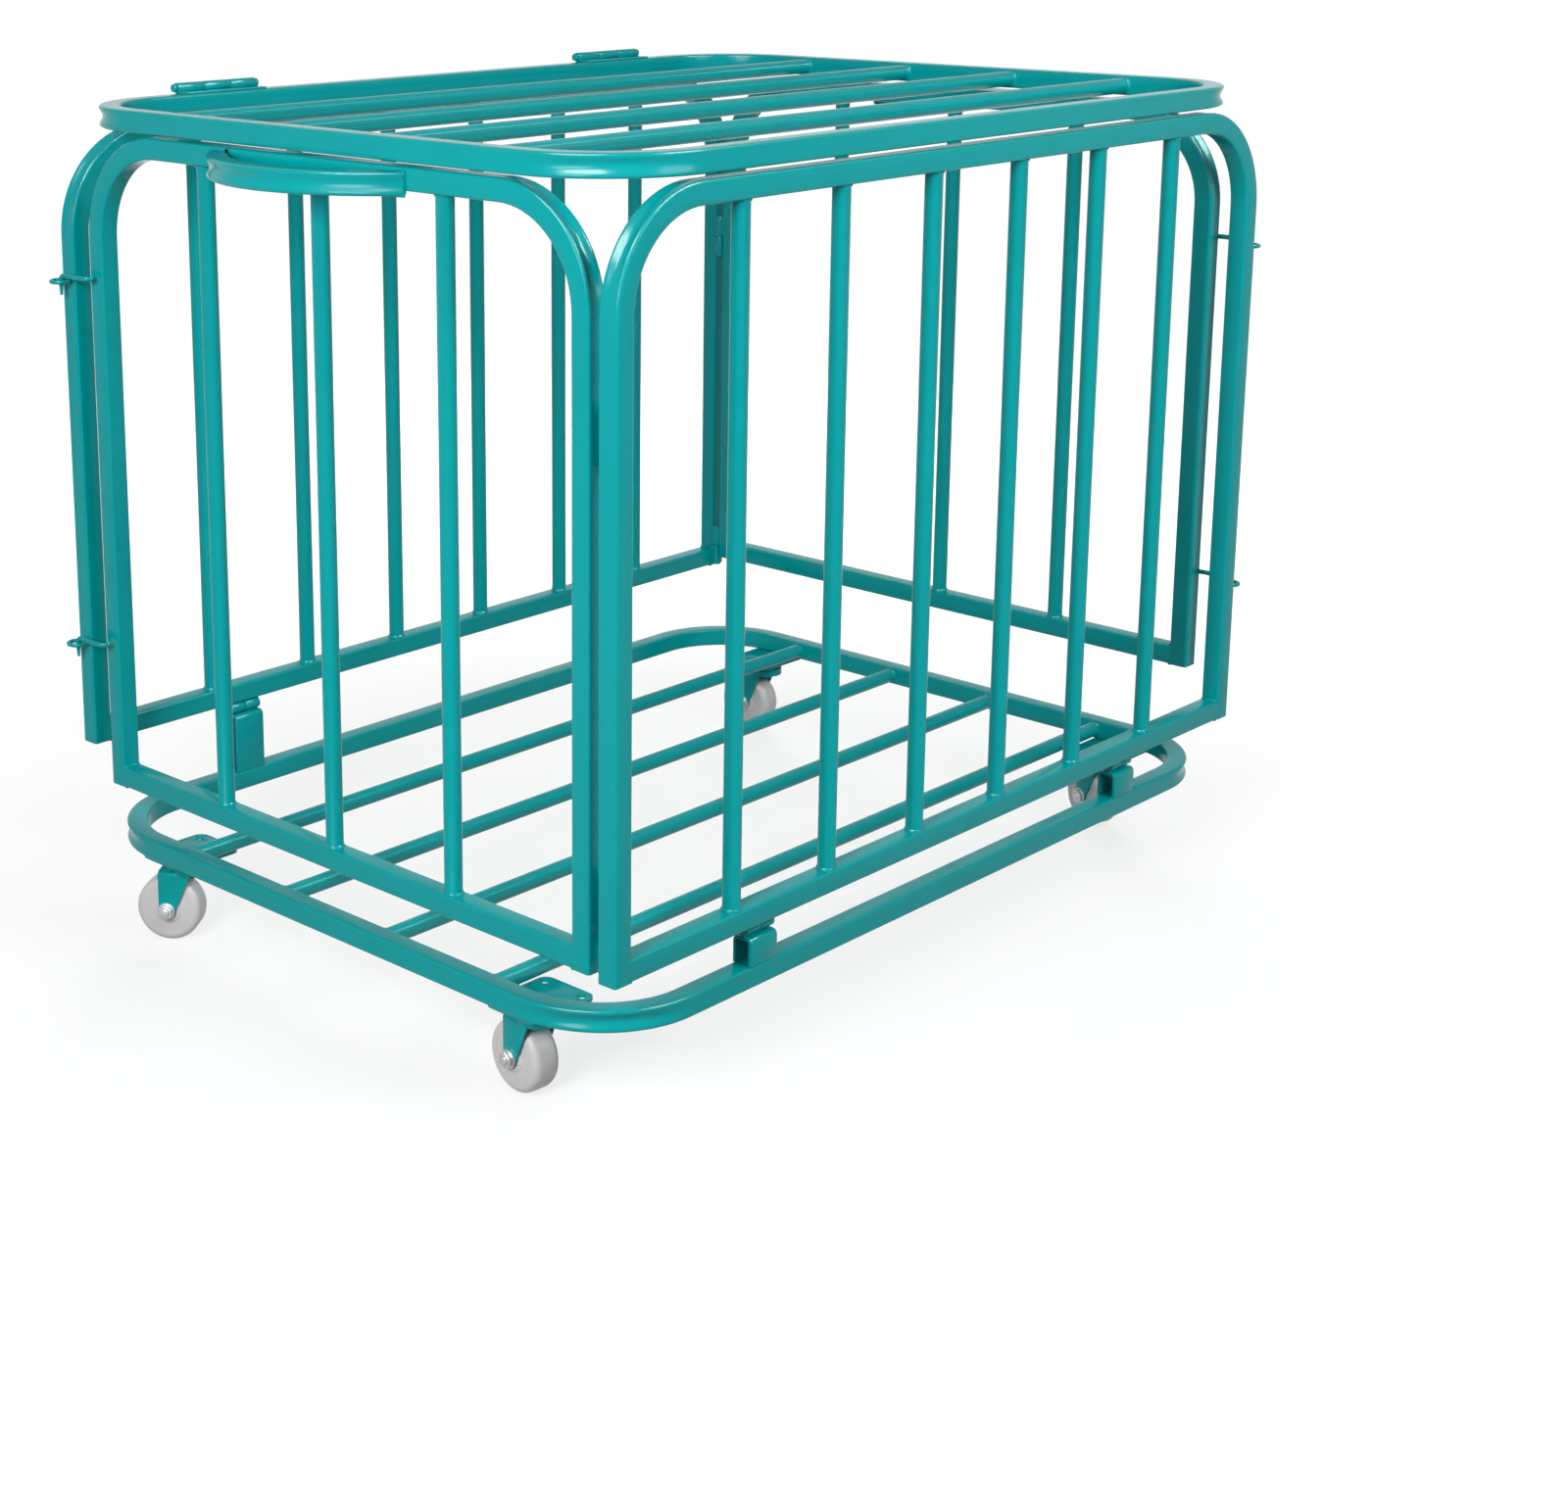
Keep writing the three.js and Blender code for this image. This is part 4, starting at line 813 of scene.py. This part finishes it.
def makeTopPlate():
    # pressed steel plate with four open holes, the cup of the swivel race and the kingpin under it
    top = caster["height"] - topPlate["gap"]
    bpy.ops.mesh.primitive_plane_add(size=1, location=(0, 0, top - topPlate["thickness"]))
    bpy.context.object.scale = (topPlate["length"], topPlate["width"], 1)
    settle()
    editMode()
    pickAll()
    bpy.ops.mesh.bevel(offset=topPlate["round"], segments=topPlate["roundSteps"], affect="VERTICES")
    pickAll()
    extrude(0, 0, topPlate["thickness"])
    pickAll()
    bpy.ops.mesh.normals_make_consistent(inside=False)
    objectMode()
    sheet = bpy.context.object
    holeX = topPlate["length"] / 2 - topPlate["holeInset"][0]
    holeY = topPlate["width"] / 2 - topPlate["holeInset"][1]
    drills = [cylinder(topPlate["hole"], topPlate["drill"], 24, (sx * holeX, sy * holeY, top))
              for sx in (-1, 1) for sy in (-1, 1)]
    cutWith(sheet, joinAll(drills))
    roundEdges(topPlate["edge"], 2, 50)
    race, sink = topPlate["raceHeight"], topPlate["raceSink"]
    low = top - topPlate["thickness"] - race
    cup = cylinder(topPlate["race"], race + sink, 48, (0, 0, low + race / 2 + sink / 2))
    settle()
    editMode()
    pick("edges", lambda co: co.z < low + slack)
    bpy.ops.mesh.bevel(offset=topPlate["raceEdge"], segments=4)
    objectMode()
    pin = cylinder(kingpin["radius"], kingpin["length"], 24, (0, 0, kingpin["middle"]))
    head = cylinder(kingpin["head"], kingpin["headHeight"], 32, (0, 0, kingpin["headMiddle"]))
    settle()
    roundEdges(kingpin["headEdge"], 3)
    joinAll([sheet, cup, pin, head])
    return template("topPlateModel")


def makeForkOutline():
    # the side view, drawn across the whole fork: square at the crown, round at the foot
    top, foot, axle = forkSheet["crownTop"], forkSheet["foot"], roller["radius"]
    front, rear, trail = forkSheet["front"], forkSheet["rear"], caster["trail"]
    over, spread, steps = forkSheet["over"], forkSheet["spread"], forkSheet["footSteps"]
    middle = ((front + rear) / 2, -spread, (top + axle) / 2 + over / 2)
    bpy.ops.mesh.primitive_plane_add(size=1, rotation=(quarterTurn, 0, 0), location=middle)
    bpy.context.object.scale = (front - rear, top - axle + over, 1)
    settle()
    editMode()
    lean = math.radians(forkSheet["lean"])
    pick("verts", lambda co: co.x < rear + slack and co.z < top - over)
    tangent = (trail - foot * math.cos(lean), axle - foot * math.sin(lean))
    bpy.ops.transform.translate(value=(tangent[0] - rear, 0, tangent[1] - axle))
    pick("edges", lambda co: co.z < top - over)
    bpy.ops.mesh.subdivide(number_cuts=steps - 1)
    for step in range(1, steps):
        angle = -step * (halfTurn - lean) / steps
        x, z = trail + foot * math.cos(angle), axle + foot * math.sin(angle)
        share = step / steps
        before = (front + (tangent[0] - front) * share, axle + (tangent[1] - axle) * share)
        pick("verts", lambda co: abs(co.x - before[0]) < slack and abs(co.z - before[1]) < slack)
        bpy.ops.transform.translate(value=(x - before[0], 0, z - before[1]))
    pickAll()
    extrude(0, 2 * spread, 0)
    pickAll()
    bpy.ops.mesh.normals_make_consistent(inside=False)
    objectMode()
    return bpy.context.object


def makeFork():
    # folded sheet: crown and two legs, trimmed to the tapered side view, with the lower race on top
    half, top = forkSheet["halfWidth"], forkSheet["crownTop"]
    bpy.ops.mesh.primitive_plane_add(size=1, location=(0, 0, top))
    bpy.context.object.scale = (forkSheet["blank"], 2 * half, 1)
    settle()
    editMode()
    for side in (-1, 1):
        pick("edges", lambda co: co.y * side > half - hair and co.z > top - hair)
        extrude(0, 0, -top)
    for side in (-1, 1):
        pick("edges", lambda co: co.y * side > half - hair and co.z > top - hair)
        bpy.ops.mesh.bevel(offset=forkSheet["fold"], segments=forkSheet["foldSteps"])
    pickAll()
    bpy.ops.mesh.normals_make_consistent(inside=False)
    objectMode()
    applyModifier("SOLIDIFY", thickness=forkSheet["thickness"], offset=-1, use_even_offset=True)
    folded = bpy.context.object
    cutWith(folded, makeForkOutline(), "INTERSECT")
    roundEdges(forkSheet["edge"], 2, 50)
    raceTop = forkSheet["raceTop"]
    depth = raceTop - (top - forkSheet["thickness"])
    cup = cylinder(topPlate["race"], depth, 48, (0, 0, raceTop - depth / 2))
    settle()
    editMode()
    pick("edges", lambda co: co.z > raceTop - slack)
    bpy.ops.mesh.bevel(offset=forkSheet["raceEdge"], segments=5)
    objectMode()
    joinAll([folded, cup])
    return template("forkModel")


def makeWheel():
    # half a wheel turned about Z, mirrored, then laid along Y
    width, lip = roller["halfWidth"], roller["lip"]
    cylinder(roller["radius"], width, 64, (0, 0, width / 2))
    settle()
    editMode()
    pick("faces", lambda co: co.z < hair)
    bpy.ops.mesh.delete(type="FACE")
    pick("edges", lambda co: co.z > width - hair)
    bpy.ops.mesh.bevel(offset=roller["shoulder"], segments=roller["shoulderSteps"])
    pick("faces", lambda co: co.z > width - hair)
    bpy.ops.mesh.inset(thickness=roller["radius"] - roller["shoulder"] - roller["hub"] - lip)
    bpy.ops.mesh.inset(thickness=lip)
    bpy.ops.transform.translate(value=(0, 0, roller["hubHalf"] - width))
    bpy.ops.mesh.inset(thickness=roller["hub"] - roller["bore"])
    extrude(0, 0, -roller["boreDepth"])
    objectMode()
    applyModifier("MIRROR", use_axis=(False, False, True), merge_threshold=hair)
    mendNormals()
    roundEdges(roller["edge"], 2, 35)
    bpy.context.object.rotation_euler = (quarterTurn, 0, 0)
    return template("wheelModel")


def makeAxle():
    # bolt along Y: hexagon head on one side, washer, nut and a thread end on the other
    washerHeight, hexHeight = axleBolt["washerHeight"], axleBolt["hexHeight"]
    start = axleBolt["grip"] + washerHeight
    made = []
    for side in (-1, 1):
        middle = side * (axleBolt["grip"] + washerHeight / 2)
        washer = cylinder(axleBolt["washer"], washerHeight, 32, (0, middle, 0), "Y")
        settle()
        roundEdges(axleBolt["washerEdge"])
        made.append(washer)
        middle = side * (start + hexHeight / 2)
        hexagon = cylinder(axleBolt["hex"], hexHeight, 6, (0, middle, 0), "Y")
        settle()
        roundEdges(axleBolt["hexEdge"], 3, 70)
        made.append(hexagon)
    end, inset = axleBolt["end"], axleBolt["headInset"]
    shank = cylinder(axleBolt["shank"], (start + hexHeight) * 2 + end - inset, 24,
                     (0, (end + inset) / 2, 0), "Y")
    settle()
    roundEdges(axleBolt["shankEdge"], 2)
    joinAll([*made, shank])
    return template("axleModel")


topPlateModel = makeTopPlate()
forkModel = makeFork()
wheelModel = makeWheel()
axleModel = makeAxle()
for corner, degrees in caster["turns"].items():
    rail, end = corner.split("_")
    x = caster["x"] * (-1 if end == "near" else 1)
    y = cartShift + caster["y"] * (-1 if rail == "front" else 1)
    word = rail.title() + end.title()
    swivel = Matrix.Translation((x, y, 0)) @ Matrix.Rotation(math.radians(degrees), 4, "Z")
    axle = swivel @ Matrix.Translation((caster["trail"], 0, roller["radius"]))
    placePiece(topPlateModel, f"casterPlate{word}", "base", teal, (x, y, 0),
               replaced=[f"caster_plate_{corner}"])
    placePiece(forkModel, f"casterFork{word}", f"fork_{corner}", teal, pose=swivel,
               replaced=[f"caster_fork_{corner}"])
    placePiece(axleModel, f"casterAxle{word}", f"fork_{corner}", zinc, pose=axle,
               replaced=[f"caster_axle_{corner}"])
    placePiece(wheelModel, f"casterWheel{word}", f"wheel_{corner}", nylon, pose=axle,
               replaced=[f"caster_wheel_{corner}"])
print("casters made")

for model in templates:
    bpy.data.objects.remove(model)


# Softboxes light the paint and show in its gloss, fills only light it, and cards only show in
# the gloss. The floor is lifted toward white where it is seen, less of it under the cart.
studio = {"floor": "8A8A8A", "floorSize": 60, "worldStrength": 0.085,
          "lift": (0.74, 1.0), "liftFrom": (0.5, 1.7), "aim": (0, 0, 0.45),
          "lamps": {
              "leftSoftbox": {"place": (-2.22, -0.73, 1.30), "size": (0.9, 0.9), "power": 50},
              "frontSoftbox": {"place": (0.05, -1.75, 1.34), "size": (0.9, 0.9), "power": 22},
              "backFill": {"place": (2.0, 1.7, 0.95), "size": (1.2, 1.2), "power": 52},
              "overheadFill": {"place": (0.3, 0.3, 3.0), "size": (1.4, 1.4), "power": 10},
              "leftCard": {"place": (-1.74, -0.50, 2.46), "size": (1.6, 0.9), "power": 240},
              "frontCard": {"place": (0.71, -1.66, 2.46), "size": (1.6, 0.9), "power": 240},
          }}


def showsBackground(tree):
    # 1 for the rays that see the studio as white: from the camera, in a reflection or through glass
    path = tree.nodes.new("ShaderNodeLightPath")
    total = path.outputs["Is Camera Ray"]
    for other in ("Is Glossy Ray", "Is Transmission Ray"):
        highest = addNode(tree, "ShaderNodeMath", {"operation": "MAXIMUM"})
        tree.links.new(total, highest.inputs[0])
        tree.links.new(path.outputs[other], highest.inputs[1])
        total = highest.outputs[0]
    return total


def makeStudio():
    bpy.ops.mesh.primitive_plane_add(size=studio["floorSize"])
    floor = bpy.context.object
    floor.name = "floor"
    material, tree, output, place = newMaterial("studioFloor")
    paint = addNode(tree, "ShaderNodeBsdfDiffuse", Color=linearColour(studio["floor"]))
    lift = addNode(tree, "ShaderNodeEmission", Color=(1, 1, 1, 1))
    away = addNode(tree, "ShaderNodeVectorMath", {"operation": "LENGTH"}, Vector=place)
    rise = addNode(tree, "ShaderNodeMapRange", {"interpolation_type": "SMOOTHSTEP"},
                   Value=away.outputs["Value"],
                   From_Min=studio["liftFrom"][0], From_Max=studio["liftFrom"][1],
                   To_Min=studio["lift"][0], To_Max=studio["lift"][1])
    seen = addNode(tree, "ShaderNodeMath", {"operation": "MULTIPLY"})
    tree.links.new(rise.outputs["Result"], seen.inputs[0])
    tree.links.new(showsBackground(tree), seen.inputs[1])
    tree.links.new(seen.outputs[0], lift.inputs["Strength"])
    both = tree.nodes.new("ShaderNodeAddShader")
    tree.links.new(paint.outputs[0], both.inputs[0])
    tree.links.new(lift.outputs[0], both.inputs[1])
    tree.links.new(both.outputs[0], output.inputs["Surface"])
    floor.data.materials.append(material)

    world = bpy.data.worlds.new("studioWorld")
    bpy.context.scene.world = world
    world.use_nodes = True
    tree = world.node_tree
    tree.nodes.clear()
    output = tree.nodes.new("ShaderNodeOutputWorld")
    shown = showsBackground(tree)
    strength = addNode(tree, "ShaderNodeMapRange", Value=shown,
                       To_Min=studio["worldStrength"], To_Max=1.0)
    sky = addNode(tree, "ShaderNodeBackground", Color=(1, 1, 1, 1),
                  Strength=strength.outputs["Result"])
    tree.links.new(sky.outputs[0], output.inputs["Surface"])

    for name, lamp in studio["lamps"].items():
        bpy.ops.object.light_add(type="AREA", location=lamp["place"])
        light = bpy.context.object
        light.name = name
        light.data.shape = "RECTANGLE"
        light.data.size, light.data.size_y = lamp["size"]
        light.data.energy = lamp["power"]
        aim = Vector(studio["aim"]) - Vector(lamp["place"])
        light.rotation_euler = aim.to_track_quat("-Z", "Y").to_euler()
        light.visible_diffuse = not name.endswith("Card")
        light.visible_glossy = not name.endswith("Fill")


def makeCamera():
    # fitted to the straight tube edges: place, bearing, tilt and roll of the lens
    view = {"place": (-1.8501, -1.6413, 1.0169), "bearing": 44.93, "tilt": 13.10, "roll": -0.33,
            "lens": 58.145, "shift": (0.16657, -0.18499)}
    bpy.ops.object.camera_add()
    camera = bpy.context.object
    camera.matrix_world = (Matrix.Translation(view["place"])
                           @ Matrix.Rotation(math.radians(-view["bearing"]), 4, "Z")
                           @ Matrix.Rotation(math.radians(90 - view["tilt"]), 4, "X")
                           @ Matrix.Rotation(math.radians(view["roll"]), 4, "Z"))
    camera.data.sensor_width = 36
    camera.data.lens = view["lens"]
    camera.data.shift_x, camera.data.shift_y = view["shift"]
    bpy.context.scene.camera = camera


makeStudio()
makeCamera()
bpy.context.scene.view_settings.view_transform = "Standard"
print("studio ready")
